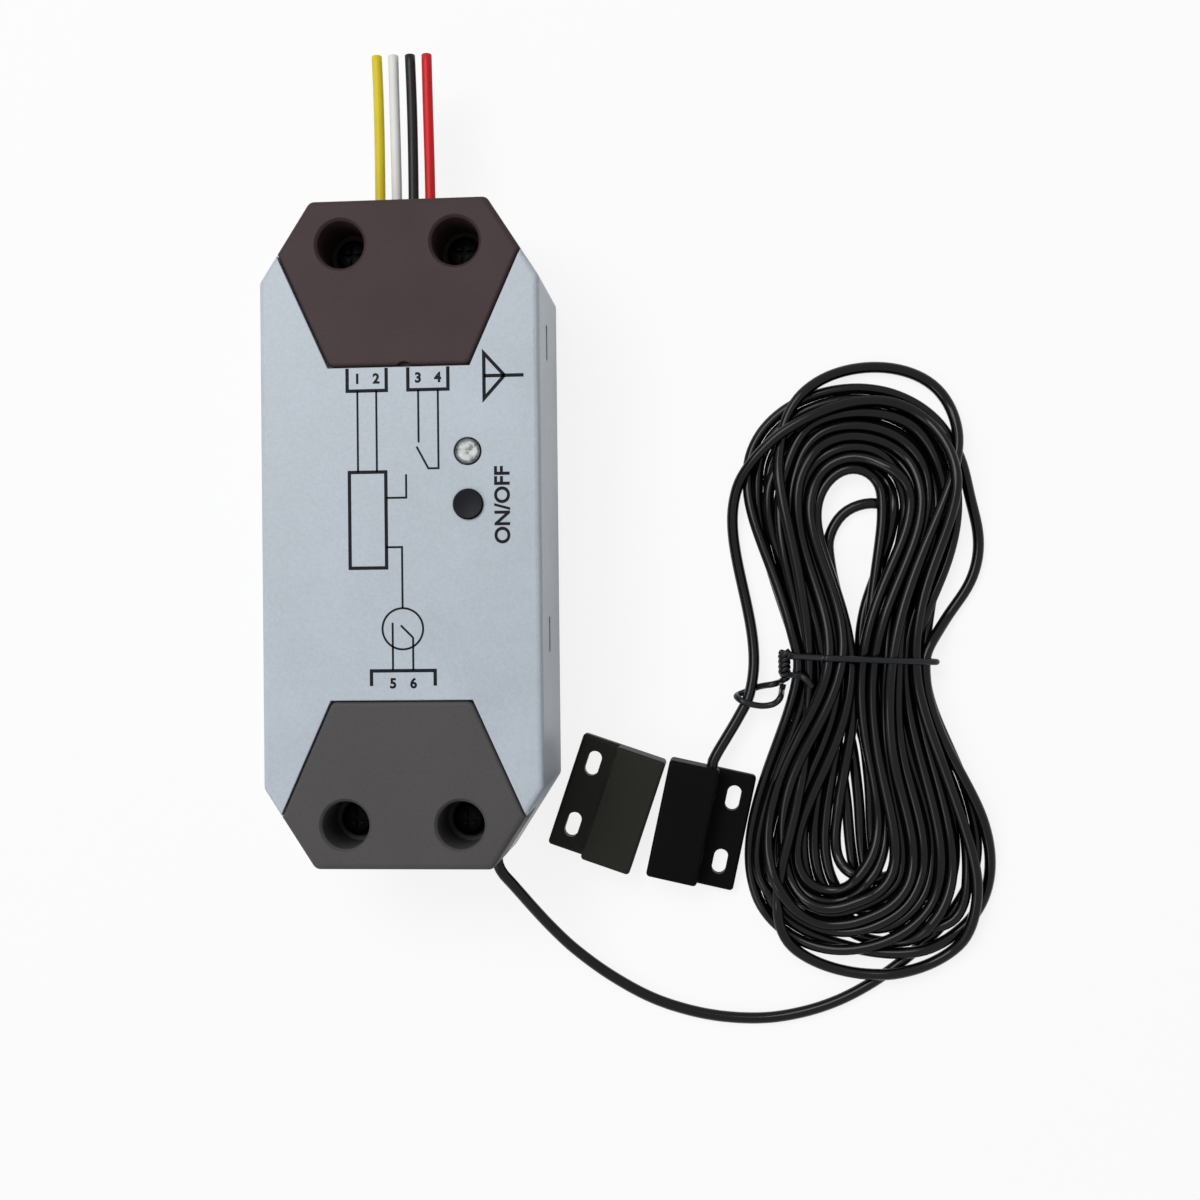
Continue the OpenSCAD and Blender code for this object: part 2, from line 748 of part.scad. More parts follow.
module tube(p, r, sides, lies) {
    t = tangents(p);
    n = len(p);
    last = (n - 1) * sides;
    walls = [for (i = [0 : n - 2], k = [0 : sides - 1])
        let (a = i * sides + k, b = i * sides + (k + 1) % sides)
        each [[a, b + sides, b], [a, a + sides, b + sides]]];
    caps = [for (k = [1 : sides - 2]) each [[0, k, k + 1], [last, last + k + 1, last + k]]];
    polyhedron([for (i = [0 : n - 1]) each tube_ring(p[i], t[i], r, sides, lies[i])], concat(walls, caps));
}

up = [0, 0, 1];
function all_up(p) = [for (q = p) up];

// A smooth line through chosen points, in equal steps between them
function blend(a, b, c, d, t) = 0.5 * (2 * b + (c - a) * t + (2 * a - 5 * b + 4 * c - d) * t * t
    + (3 * b - a - 3 * c + d) * t * t * t);
function smooth(p, steps) = let (e = len(p) - 1)
    [for (i = [0 : e - 1], k = [0 : steps - 1])
        blend(p[max(i - 1, 0)], p[i], p[i + 1], p[min(i + 2, e)], k / steps), p[e]];

// The hank: loops with a drawn-in waist, counted in turns from the top, counter-clockwise
hank_at = [68.2, -19.5];
strand_step = cord_d + strand_gap;
waist_in = 0.75 * strand_step;
top_step = strand_step + 0.57;
foot_step = strand_step + 0.27;
swell_in = 12;
swell_top = 3;
swell_foot = 4.1;
hank_rings = 24;
hank_sides = 6;
tie_gap = 0.35;
waist_lift = tie_d + tie_gap;
waist_reach = 9;
layer_turns = hank_loops + 0.5;
hank_start = 14 / hank_rings;
hank_end = hank_layers * layer_turns - 22 / hank_rings;

function ease(t) = let (c = min(max(t, 0), 1)) c * c * (3 - 2 * c);
function layer_at(turn) = min(floor(turn / layer_turns), hank_layers - 1);
function loop_at(turn) = let (j = layer_at(turn), u = turn - j * layer_turns,
    wound = min(u, 2 * hank_loops + 0.5 - u))
    j % 2 == 0 ? hank_loops - wound : wound;
function climb_at(turn) = let (j = layer_at(turn), u = turn - j * layer_turns - hank_loops)
    j + ease((2 * u - 0.2) / 0.6);
function hank_point(turn) = let (
    s = loop_at(turn),
    c = cos(360 * turn),
    reach = c > 0 ? hank_top + top_step * s : hank_foot + foot_step * s,
    swell = swell_in + (c > 0 ? swell_top : swell_foot) * s,
    x = -sin(360 * turn) * (waist_in + strand_step * s + swell * c * c),
    y = reach * c,
    z = cord_r + strand_step * climb_at(turn) + waist_lift * exp(-pow(y / waist_reach, 2)))
    [hank_at[0] + x, hank_at[1] + y, z];

function heading(turn) = unit(hank_point(turn + 0.002) - hank_point(turn - 0.002));
hank_first = hank_point(hank_start) - cord_d * heading(hank_start);
hank_last = hank_point(hank_end) + cord_d * heading(hank_end);
hank_count = round((hank_end - hank_start) * hank_rings);
hank_points = [hank_first,
    for (i = [0 : hank_count]) hank_point(hank_start + (hank_end - hank_start) * i / hank_count),
    hank_last];

// Distance of a point from a straight stretch, and the least one between strands of the hank
function from_stretch(p, a, b) = let (t = min(max((p - a) * (b - a) / ((b - a) * (b - a)), 0), 1))
    norm(p - a - t * (b - a));
near_steps = 6; // points this close along the hank are the same strand
function hank_gap(p) = min([for (i = [0 : len(p) - 1], j = [i + near_steps : 1 : len(p) - 2])
    from_stretch(p[i], p[j], p[j + 1])]) - cord_d;

module cord_hank() color("#1d1d20") {
    echo(str("Least gap of the hank to itself, mm: ", hank_gap(hank_points)));
    tube(hank_points, cord_r, hank_sides, all_up(hank_points));
}

// Free stretch from the box to the hank
floor_z = cord_r + 0.02;
lead_route = [
    [cord_x, jacket_y, parting_z], [cord_x, exit_run - half_len, parting_z],
    [cord_x, -half_len, parting_z], [cord_x + 0.1, -half_len - 0.9, parting_z - 0.05],
    [12.7, -51.4, 11.6], [13.9, -53, 10.8], [15.3, -55, 9.5], [17.1, -57.6, 7.8], [19.6, -60.9, 5.8],
    [23, -64.7, 3.7], [28.2, -69, 1.9], [34.5, -72.7, 1], [40.8, -74.8, floor_z], [47, -75.8, floor_z],
    [53.4, -75.8, floor_z], [59.6, -74.6, floor_z], [65, -72.6, floor_z], [70, -70, floor_z],
    [75, -66.8, floor_z],
    hank_first - 2 * cord_d * heading(hank_start), hank_first - cord_d * heading(hank_start), hank_first];

module cord_lead() color("#1d1d20") {
    p = smooth(lead_route, 2);
    tube(p, cord_r, 8, all_up(p));
}

// Free stretch from the hank to the reed switch
entry_dir = concat(turned([0, 1], reed_turn), 0);
entry_at = concat(reed_at + turned([entry_x, contact_len / 2 - contact_wall], reed_turn), entry_z);
tail_route = [
    hank_last, hank_last + cord_d * heading(hank_end), hank_last + 2 * cord_d * heading(hank_end),
    [49.8, 7.6, 6.6], [48.9, 3.6, 4.8],
    [48.8, -0.6, 3], [49.4, -5.2, 1.6], [50.4, -10, floor_z], [51.2, -15, floor_z], [51.5, -20, 1.7],
    [50.7, -25, 2.6], [49, -28.4, 2.9], [47.2, -31.4, entry_z], [45.9, -33.5, entry_z],
    entry_at + 2 * contact_wall * entry_dir, entry_at + 1.1 * contact_wall * entry_dir, entry_at];
tail_held = 10; // the point of this route that the tie's loop holds

module cord_tail() color("#1d1d20") {
    p = smooth(tail_route, 2);
    tube(p, cord_r, 8, all_up(p));
}

// Two cores from the cord's jacket to the terminal block
module cord_cores() color("#a9452e")
    for (i = [0, 1]) {
        s = 2 * i - 1;
        mouth = -block_y - block_depth;
        z = parting_z + s * core_r * 1.3;
        p = smooth([[cord_x, jacket_y, z], [cord_x, jacket_y + 0.6, z], [cord_x, jacket_y + 1.2, z],
            [cord_x - core_jog, mouth - core_back + s * 2 * core_r, z],
            [cord_x - core_run, mouth - core_back + s * 2 * core_r, z],
            [sensor_xs[i] + core_jog, mouth - core_jog + s * 2 * core_r, z],
            [sensor_xs[i], mouth - 0.4, parting_z], [sensor_xs[i], mouth + copper_in, parting_z]], 3);
        tube(p, core_r, 6, all_up(p));
    }

// Tie: one wire, twisted with itself at the hank's left, round the waist and round the tail of the cord
tie_r = tie_d / 2;
tie_around = cord_r + tie_gap + tie_r;
waist_out = waist_in + strand_step * (hank_loops + 0.25);
waist_low = cord_r + waist_lift;
waist_high = waist_low + strand_step * (hank_layers - 1);
tie_y = hank_at[1] + 0.3;
twist_r = tie_r + 0.21;
twist_len = 4.6;
twist_turns = 1.5;
twist_x = hank_at[0] - waist_out + 0.4;
twist_z = waist_high + cord_r + tie_gap + tie_r + twist_r;
twist_top = tie_y - 1.6;

function twist_point(t, side) = let (a = 360 * twist_turns * t + side)
    [twist_x + twist_r * cos(a), twist_top - twist_len * t, twist_z + twist_r * sin(a)];
function corner_arc(x, z, from, steps) = [for (k = [0 : steps]) let (a = from - 90 * k / steps)
    [hank_at[0] + x + tie_around * cos(a), tie_y, z + tie_around * sin(a)]];
band = concat(corner_arc(waist_out, waist_high, 90, 4), corner_arc(waist_out, waist_low, 0, 4),
    corner_arc(-waist_out, waist_low, -90, 4), corner_arc(-waist_out, waist_high, -180, 3));
twist_steps = 10;
held = tail_route[tail_held];
tie_loop = [[-0.2, 0.9, 2.1], [-1.4, 0.4, 1.1], [-1.8, -0.2, 0],
    [-1.1, -0.6, -1.2], [0.6, -0.8, -1.8], [2.4, -0.8, -1.2]];

module hank_tie() color("#141416") {
    wire = concat(
        [for (i = [0 : twist_steps]) twist_point(1 - i / twist_steps, 0)],
        band,
        [for (i = [0 : twist_steps]) twist_point(i / twist_steps, 180)],
        [for (q = tie_loop) held + q]);
    tube(wire, tie_r, 6, [for (q = wire) [0, 1, 0.35]]);
}

// Door contact: a block that holds the working part, and a flange with two screw slots beside it
module contact_case() {
    difference() {
        union() {
            translate([(block_x - contact_w / 2) / 2, 0, 0])
                soft_slab(box_outline(block_w, contact_len), contact_h, contact_r, contact_edge);
            translate([(contact_w / 2 + block_x - contact_wall) / 2, 0, 0])
                soft_slab(box_outline(contact_w / 2 - block_x + contact_wall, contact_len),
                    flange_t, contact_r, contact_edge);
        }
        translate([cavity_x[0], -cavity_len / 2, -cut])
            cube([cavity_x[1] - cavity_x[0], cavity_len, cavity_h + cut]);
        for (s = [-1, 1])
            translate([slot_x, s * slot_span / 2, -cut]) {
                for (e = [-1, 1])
                    translate([0, e * (slot_len - slot_w) / 2, 0]) cylinder(d = slot_w, h = contact_h);
                translate([-slot_w / 2, -(slot_len - slot_w) / 2, 0])
                    cube([slot_w, slot_len - slot_w, contact_h]);
            }
    }
}

module contact_potting() {
    translate([cavity_x[0] + potting_gap, potting_gap - cavity_len / 2, 0])
        cube([cavity_x[1] - cavity_x[0] - 2 * potting_gap, cavity_len - 2 * potting_gap, cavity_h]);
}

module at_reed() translate([reed_at[0], reed_at[1], 0]) rotate(reed_turn) children();

module at_magnet()
    translate([magnet_at[0], magnet_at[1], 0])
        rotate(magnet_turn)
            mirror([1, 0, 0])
                children();

module reed_case() color("#1f1f22")
    at_reed()
        difference() {
            contact_case();
            along_y([entry_x, contact_len / 2 - contact_wall - cut, entry_z],
                cord_r + cable_gap, contact_wall + 2 * cut);
        }

module reed_potting() color("#2a2a2c")
    at_reed()
        difference() {
            contact_potting();
            along_y([reed_x, -reed_len / 2 - copper_gap, entry_z],
                reed_r + copper_gap, reed_len + 2 * copper_gap);
            along_y([reed_x, -reed_len / 2 - reed_pin_len, entry_z],
                pin_r + copper_gap, reed_len + 2 * reed_pin_len);
        }

module reed_switch() color("#9fb59a")
    at_reed() {
        along_y([reed_x, -reed_len / 2, entry_z], reed_r, reed_len);
        along_y([reed_x, -reed_len / 2 - reed_pin_len, entry_z], pin_r, reed_len + 2 * reed_pin_len);
    }

module magnet_case() color("#1f1f22") at_magnet() contact_case();

module magnet_potting() color("#2a2a2c")
    at_magnet()
        difference() {
            contact_potting();
            translate([cavity_mid, 0, entry_z]) cube(magnet_size + 2 * copper_gap * [1, 1, 1], center = true);
        }

module bar_magnet() color("#8d8f93")
    at_magnet() translate([cavity_mid, 0, entry_z]) cube(magnet_size, center = true);

base_case();
top_cover();
line_terminal_cover();
sensor_terminal_cover();
cover_screws();
button_cap();
switch_plunger();
switch_body();
light_pipe();
status_led();
circuit_board();
board_screws();
radio_module();
radio_shield();
relay();
transformer_core();
transformer_winding();
capacitors();
fuse();
varistor();
line_terminal_block();
sensor_terminal_block();
terminal_screws();
lead_yellow();
lead_white();
lead_black();
lead_red();
lead_conductors();
cord_cores();
cord_lead();
cord_hank();
cord_tail();
hank_tie();
reed_case();
reed_potting();
reed_switch();
magnet_case();
magnet_potting();
bar_magnet();
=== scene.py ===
# Looks of the garage door controller: materials, cords, print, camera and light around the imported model
import json
import math

import bpy
import numpy as np
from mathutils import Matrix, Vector


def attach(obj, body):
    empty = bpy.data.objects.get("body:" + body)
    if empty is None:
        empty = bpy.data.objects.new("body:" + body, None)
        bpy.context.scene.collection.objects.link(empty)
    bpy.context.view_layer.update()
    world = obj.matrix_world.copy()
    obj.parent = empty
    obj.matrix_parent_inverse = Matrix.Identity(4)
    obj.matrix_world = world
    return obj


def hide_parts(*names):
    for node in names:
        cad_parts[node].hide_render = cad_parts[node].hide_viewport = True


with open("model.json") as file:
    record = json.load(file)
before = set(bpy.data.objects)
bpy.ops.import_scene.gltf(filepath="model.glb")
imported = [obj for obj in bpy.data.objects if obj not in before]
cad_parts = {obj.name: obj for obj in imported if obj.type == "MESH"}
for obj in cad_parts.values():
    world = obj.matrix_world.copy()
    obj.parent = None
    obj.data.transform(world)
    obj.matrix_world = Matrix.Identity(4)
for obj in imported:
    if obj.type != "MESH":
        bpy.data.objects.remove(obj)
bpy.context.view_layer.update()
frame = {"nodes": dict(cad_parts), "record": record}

MM = 0.001
ROUNDNESS = 3
STEEP = 0.9


# Materials


def linear(hex_colour):
    """A colour as it is written in sRGB, in Blender's linear values."""
    out = []
    for i in (0, 2, 4):
        c = int(hex_colour[i:i + 2], 16) / 255
        out.append(c / 12.92 if c <= 0.04045 else ((c + 0.055) / 1.055) ** 2.4)
    return out + [1.0]


def add(tree, kind, inputs=None, **settings):
    """A new shader node with its settings and input values."""
    made = tree.nodes.new(kind)
    for key, value in settings.items():
        setattr(made, key, value)
    for key, value in (inputs or {}).items():
        made.inputs[key].default_value = value
    return made


def new_material(name, **sockets):
    """A material with a principled shader, whose sockets take the constants given, and its coordinates."""
    mat = bpy.data.materials.new(name)
    mat.use_nodes = True
    tree = mat.node_tree
    bsdf = tree.nodes["Principled BSDF"]
    for key, value in sockets.items():
        bsdf.inputs[key.replace("_", " ")].default_value = value
    coords = add(tree, "ShaderNodeTexCoord").outputs["Object"]
    return mat, tree, bsdf, coords


def noise(tree, coords, scale, detail=2.0, rough=0.5):
    """An uneven value from place to place."""
    made = add(tree, "ShaderNodeTexNoise", {"Scale": scale, "Detail": detail, "Roughness": rough})
    tree.links.new(coords, made.inputs["Vector"])
    return made.outputs["Fac"]


def ramp(tree, value, stops):
    """A colour for a value, from stops of place and colour."""
    made = add(tree, "ShaderNodeValToRGB")
    marks = made.color_ramp.elements
    while len(marks) < len(stops):
        marks.new(0.5)
    for mark, (place, colour) in zip(marks, stops):
        mark.position = place
        mark.color = colour
    tree.links.new(value, made.inputs["Fac"])
    return made.outputs["Color"]


def span(tree, value, low, high, start=0.3, end=0.7):
    """A value's middle range spread from low to high."""
    limits = {"From Min": start, "From Max": end, "To Min": low, "To Max": high}
    made = add(tree, "ShaderNodeMapRange", limits)
    tree.links.new(value, made.inputs["Value"])
    return made.outputs["Result"]


def bumped(tree, height, strength, distance):
    """A bump node that follows a height."""
    made = add(tree, "ShaderNodeBump", {"Strength": strength, "Distance": distance})
    tree.links.new(height, made.inputs["Height"])
    return made


def shaded(colour, factor):
    """A colour made lighter or darker."""
    return [min(c * factor, 1.0) for c in colour[:3]] + [1.0]


def moulded(name, hex_colour, rough, grain=2400, depth=0.00004, strength=0.35, vary=0.06, edge=0.0,
            **sockets):
    """Moulded plastic: fine spark grain, slight clouding of colour and gloss, and softened edges."""
    mat, tree, bsdf, coords = new_material(name, **sockets)
    colour = linear(hex_colour)
    cloud = noise(tree, coords, 70, 4.0, 0.6)
    fine = noise(tree, coords, grain, 3.0, 0.6)
    tint = ramp(tree, cloud, [(0.3, shaded(colour, 1 - vary)), (0.7, shaded(colour, 1 + vary))])
    speck = add(tree, "ShaderNodeMix", {"Factor": 0.25}, data_type="RGBA", blend_type="OVERLAY")
    tree.links.new(tint, speck.inputs["A"])
    grey = ramp(tree, fine, [(0.35, (0.4, 0.4, 0.4, 1)), (0.65, (0.6, 0.6, 0.6, 1))])
    tree.links.new(grey, speck.inputs["B"])
    tree.links.new(speck.outputs["Result"], bsdf.inputs["Base Color"])
    tree.links.new(span(tree, cloud, rough - 0.05, rough + 0.06), bsdf.inputs["Roughness"])
    bump = bumped(tree, fine, strength, depth)
    if edge:
        soft = add(tree, "ShaderNodeBevel", {"Radius": edge}, samples=4)
        tree.links.new(soft.outputs["Normal"], bump.inputs["Normal"])
    tree.links.new(bump.outputs["Normal"], bsdf.inputs["Normal"])
    return mat


def jacket(name, hex_colour, rough, vary=0.08, ripple=0.00003, **sockets):
    """Drawn insulation: glossy, with slow ripples, a dull bloom in patches and fine scuffs."""
    mat, tree, bsdf, coords = new_material(name, **sockets)
    colour = linear(hex_colour)
    slow = noise(tree, coords, 260, 2.0)
    bloom = noise(tree, coords, 55, 3.0, 0.6)
    scuff = noise(tree, coords, 3800, 2.0)
    tint = ramp(tree, bloom, [(0.35, shaded(colour, 1 - vary)), (0.65, shaded(colour, 1 + vary))])
    tree.links.new(tint, bsdf.inputs["Base Color"])
    tree.links.new(span(tree, bloom, rough - 0.05, rough + 0.09), bsdf.inputs["Roughness"])
    low = bumped(tree, slow, 0.3, ripple)
    high = bumped(tree, scuff, 0.12, 0.00001)
    tree.links.new(low.outputs["Normal"], high.inputs["Normal"])
    tree.links.new(high.outputs["Normal"], bsdf.inputs["Normal"])
    return mat


def metal(name, hex_colour, rough, grain=1800, depth=0.00001):
    """Plated or drawn metal with a fine uneven polish."""
    mat, tree, bsdf, coords = new_material(name, Metallic=1.0)
    colour = linear(hex_colour)
    cloud = noise(tree, coords, 300, 4.0, 0.6)
    fine = noise(tree, coords, grain, 3.0)
    tint = ramp(tree, cloud, [(0.3, shaded(colour, 0.82)), (0.7, colour)])
    tree.links.new(tint, bsdf.inputs["Base Color"])
    tree.links.new(span(tree, cloud, rough - 0.07, rough + 0.1), bsdf.inputs["Roughness"])
    bump = bumped(tree, fine, 0.3, depth)
    tree.links.new(bump.outputs["Normal"], bsdf.inputs["Normal"])
    return mat


def clear_plastic(name, axis, shade_rim):
    """Slightly milky clear plastic with flow marks, and painted shade darkening it towards the rim round
    its axis, standing in for the shadow in the gap round the pipe.
    """
    mat, tree, bsdf, coords = new_material(name, Transmission_Weight=0.25, IOR=1.49)
    flow = noise(tree, coords, 900, 3.0, 0.6)
    tint = ramp(tree, flow, [(0.36, linear("8d9292")), (0.47, linear("e6eae9")), (0.62, linear("fbfcfc"))])
    flat = add(tree, "ShaderNodeVectorMath", {1: (1, 1, 0)}, operation="MULTIPLY")
    tree.links.new(coords, flat.inputs[0])
    away = add(tree, "ShaderNodeVectorMath", {1: axis}, operation="DISTANCE")
    tree.links.new(flat.outputs["Vector"], away.inputs[0])
    # Painted shade: a dark grey mixed in towards the rim, for the shadow in the gap round the pipe
    dark = add(tree, "ShaderNodeMix", {"B": linear("2b2e31")}, data_type="RGBA")
    tree.links.new(span(tree, away.outputs["Value"], 0.0, 0.85, *shade_rim), dark.inputs["Factor"])
    tree.links.new(tint, dark.inputs["A"])
    tree.links.new(dark.outputs["Result"], bsdf.inputs["Base Color"])
    tree.links.new(span(tree, flow, 0.08, 0.25), bsdf.inputs["Roughness"])
    bump = bumped(tree, flow, 0.5, 0.00008)
    tree.links.new(bump.outputs["Normal"], bsdf.inputs["Normal"])
    return mat


def board_green(name):
    """Solder mask over copper: tracks show as a slightly lighter, raised pattern."""
    mat, tree, bsdf, coords = new_material(name)
    tracks = add(tree, "ShaderNodeTexBrick", {"Scale": 90.0, "Mortar Size": 0.06, "Mortar Smooth": 0.1})
    tree.links.new(coords, tracks.inputs["Vector"])
    tint = ramp(tree, tracks.outputs["Fac"], [(0.0, linear("1b5233")), (1.0, linear("2b6d45"))])
    tree.links.new(tint, bsdf.inputs["Base Color"])
    tree.links.new(span(tree, noise(tree, coords, 400), 0.25, 0.4), bsdf.inputs["Roughness"])
    bump = bumped(tree, tracks.outputs["Fac"], 0.4, 0.00003)
    tree.links.new(bump.outputs["Normal"], bsdf.inputs["Normal"])
    return mat


def winding_tape(name):
    """Yellow tape over a winding: overlapping turns show as soft bands."""
    mat, tree, bsdf, coords = new_material(name)
    bands = add(tree, "ShaderNodeTexWave", {"Scale": 160.0, "Distortion": 1.0}, bands_direction="Y")
    tree.links.new(coords, bands.inputs["Vector"])
    tint = ramp(tree, bands.outputs["Fac"], [(0.0, linear("b98f2c")), (1.0, linear("d9b44c"))])
    tree.links.new(tint, bsdf.inputs["Base Color"])
    tree.links.new(span(tree, bands.outputs["Fac"], 0.25, 0.4), bsdf.inputs["Roughness"])
    return mat


def ink(name):
    """Pad print: matt dark ink, a little uneven."""
    mat, tree, bsdf, coords = new_material(name, **DULLER)
    fine = noise(tree, coords, 3000, 3.0)
    tint = ramp(tree, fine, [(0.3, linear("0e1014")), (0.75, linear("1f242a"))])
    tree.links.new(tint, bsdf.inputs["Base Color"])
    tree.links.new(span(tree, fine, 0.45, 0.65), bsdf.inputs["Roughness"])
    return mat


# How much less than usual a surface mirrors
DULL = {"Specular_IOR_Level": 0.2}
DULLER = {"Specular_IOR_Level": 0.08}
DULLEST = {"Specular_IOR_Level": 0.03}
COVER_GRAIN = {"grain": 2000, "depth": 0.00006, "strength": 0.45, "vary": 0.08, "edge": 0.0002}
CONTACT_GRAIN = {"grain": 1700, "depth": 0.00006, "strength": 0.45, "vary": 0.1, "edge": 0.0002}
# The light pipe's axis, and the two radii between which painted shade darkens its rim, standing in for the
# shadow in the gap round the pipe
PIPE_AXIS = (0.0101, 0.0118, 0)
PIPE_SHADE_RIM = (0.00125, 0.0016)
MATERIALS = {
    "housing_grey": moulded("housing_grey", "b3bcc5", 0.42, edge=0.00025),
    "cover_brown_grey": moulded("cover_brown_grey", "4a4848", 0.55, **COVER_GRAIN, **DULL),
    "black_plastic": moulded("black_plastic", "1b1c20", 0.42, edge=0.0002, **DULLER),
    "clear_plastic": clear_plastic("clear_plastic", PIPE_AXIS, PIPE_SHADE_RIM),
    "board_green": board_green("board_green"),
    "radio_blue": moulded("radio_blue", "17324a", 0.35),
    "tin_plate": metal("tin_plate", "c9ccd0", 0.3),
    "black_screw": metal("black_screw", "141416", 0.5),
    "zinc_screw": metal("zinc_screw", "c3c6c8", 0.3),
    "ferrite": moulded("ferrite", "3a3a3c", 0.55, 1200, 0.00008, 0.5),
    "winding_tape": winding_tape("winding_tape"),
    "capacitor_sleeve": moulded("capacitor_sleeve", "23263a", 0.25, 900, 0.00002),
    "fuse_green": moulded("fuse_green", "4f7a5a", 0.3, 700, 0.00003),
    "varistor_blue": moulded("varistor_blue", "2f5aa0", 0.4, 1000, 0.00006),
    "terminal_green": moulded("terminal_green", "2f7d4b", 0.4),
    "led_white": moulded("led_white", "f0eddd", 0.3, 1200, 0.00002),
    "plunger_cream": moulded("plunger_cream", "d9d2c0", 0.4),
    "insulation_yellow": jacket("insulation_yellow", "d9c52a", 0.4, **DULL),
    "insulation_white": jacket("insulation_white", "e4e4e2", 0.4, **DULL),
    "insulation_black": jacket("insulation_black", "141416", 0.34, **DULL),
    "insulation_red": jacket("insulation_red", "cf1f24", 0.4, **DULL),
    "copper": metal("copper", "c98552", 0.32),
    "core_red": jacket("core_red", "a9452e", 0.4),
    "cord_black": jacket("cord_black", "080809", 0.13, 0.15, **DULL),
    "tie_black": jacket("tie_black", "1c1d20", 0.2, 0.15, 0.00002, **DULL),
    "contact_black": moulded("contact_black", "0b0b0c", 0.45, **CONTACT_GRAIN, **DULLEST),
    "potting": moulded("potting", "2a2a2c", 0.3, 500, 0.0001, 0.5),
    "reed_glass": moulded("reed_glass", "9fb59a", 0.12, 900, 0.00001),
    "magnet_metal": metal("magnet_metal", "8d8f93", 0.38),
}
PRINT_INK = ink("print_ink")
# The line cover is browner than the other cover, and the magnet half greyer than the reed half
BATCHES = {"line_terminal_cover": moulded("cover_dark", "37292a", 0.55, **COVER_GRAIN, **DULL),
           "magnet_case": moulded("contact_grey", "242520", 0.45, **CONTACT_GRAIN, **DULLER)}

for part in frame["record"]["subparts"]:
    slots = frame["nodes"][part["node"]].data.materials
    slots.clear()
    slots.append(BATCHES.get(part["node"], MATERIALS[part["material_slot"]]))


# Geometry helpers


def new_piece(name, verts, faces, mat, smooth=True):
    """A mesh that rides on the housing."""
    mesh = bpy.data.meshes.new(name)
    mesh.from_pydata([tuple(v) for v in verts], [], faces)
    mesh.update()
    mesh.polygons.foreach_set("use_smooth", [smooth] * len(mesh.polygons))
    obj = bpy.data.objects.new(name, mesh)
    bpy.context.scene.collection.objects.link(obj)
    mesh.materials.append(mat)
    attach(obj, "housing")
    return obj


def catmull(points, steps):
    """A smooth line through chosen points."""
    p = np.array(points, float)
    p = np.vstack([2 * p[0] - p[1], p, 2 * p[-1] - p[-2]])
    out = []
    for i in range(1, len(p) - 2):
        a, b, c, d = p[i - 1:i + 3]
        for k in range(steps):
            t = k / steps
            out.append(0.5 * (2 * b + (c - a) * t + (2 * a - 5 * b + 4 * c - d) * t * t
                              + (3 * b - a - 3 * c + d) * t ** 3))
    out.append(p[-2])
    return np.array(out)


def resample(p, step):
    """The same line in equal steps of about this length."""
    along = np.r_[0, np.cumsum(np.linalg.norm(np.diff(p[:, :3], axis=0), axis=1))]
    count = int(round(along[-1] / step))
    at = np.linspace(0, along[-1], count + 1)
    return np.column_stack([np.interp(at, along, p[:, i]) for i in range(p.shape[1])])


def tangents(p):
    """Directions along a line."""
    t = np.gradient(p, axis=0)
    return t / np.linalg.norm(t, axis=1)[:, None]


def tube(path, radius, sides, end_profile):
    """Vertices and faces of a tube along a line, whose far end follows a profile of setback and radius."""
    t = tangents(path)
    up = np.array([0.0, 0.0, 1.0]) if abs(t[0][2]) < STEEP else np.array([1.0, 0.0, 0.0])
    rings = []
    turn = np.linspace(0, 2 * math.pi, sides, endpoint=False)
    a = np.cross(up, t[0])
    for i in range(len(path)):
        a = a - t[i] * (a @ t[i])
        a = a / np.linalg.norm(a)
        b = np.cross(t[i], a)
        circle = np.cos(turn)[:, None] * a + np.sin(turn)[:, None] * b
        if i < len(path) - 1:
            rings.append(path[i] + radius * circle)
        else:
            for back, r in end_profile:
                rings.append(path[i] - back * t[i] + r * circle)
    verts = np.vstack(rings)
    faces = []
    for i in range(len(rings) - 1):
        for k in range(sides):
            n = (k + 1) % sides
            faces.append((i * sides + k, i * sides + n, (i + 1) * sides + n, (i + 1) * sides + k))
    faces.append(tuple(range(sides))[::-1])
    last = (len(rings) - 1) * sides
    faces.append(tuple(range(last, last + sides)))
    return verts * MM, faces


def joined(parts):
    """Several meshes' vertices and faces as one."""
    verts, faces = [], []
    for v, f in parts:
        faces += [tuple(i + len(verts) for i in face) for face in f]
        verts += list(v)
    return verts, faces


def curve_piece(name, points, radius, mat):
    """A round tube with flat ends along one open line of points in millimetres, riding on the housing."""
    data = bpy.data.curves.new(name, "CURVE")
    data.dimensions = "3D"
    data.bevel_depth = radius * MM
    data.bevel_resolution = ROUNDNESS
    data.use_fill_caps = True
    spline = data.splines.new("POLY")
    spline.points.add(len(points) - 1)
    flat = np.column_stack([np.array(points) * MM, np.ones(len(points))])
    spline.points.foreach_set("co", flat.ravel())
    spline.use_smooth = True
    data.materials.append(mat)
    obj = bpy.data.objects.new(name, data)
    bpy.context.scene.collection.objects.link(obj)
    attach(obj, "housing")
    return obj


# Camera


camera_data = bpy.data.cameras.new("camera")
camera_data.lens = 45.97
camera_data.sensor_width = 36.0
camera_data.clip_start = 0.01
camera_data.clip_end = 20.0
camera = bpy.data.objects.new("camera", camera_data)
camera.location = (0.04715, -0.01225, 0.244)
camera.rotation_euler = (math.radians(0.518), math.radians(4.685), math.radians(-0.638))
bpy.context.scene.collection.objects.link(camera)
bpy.context.scene.camera = camera


# Sensor cord: loops wound in four layers, tied at the waist and settled on the floor


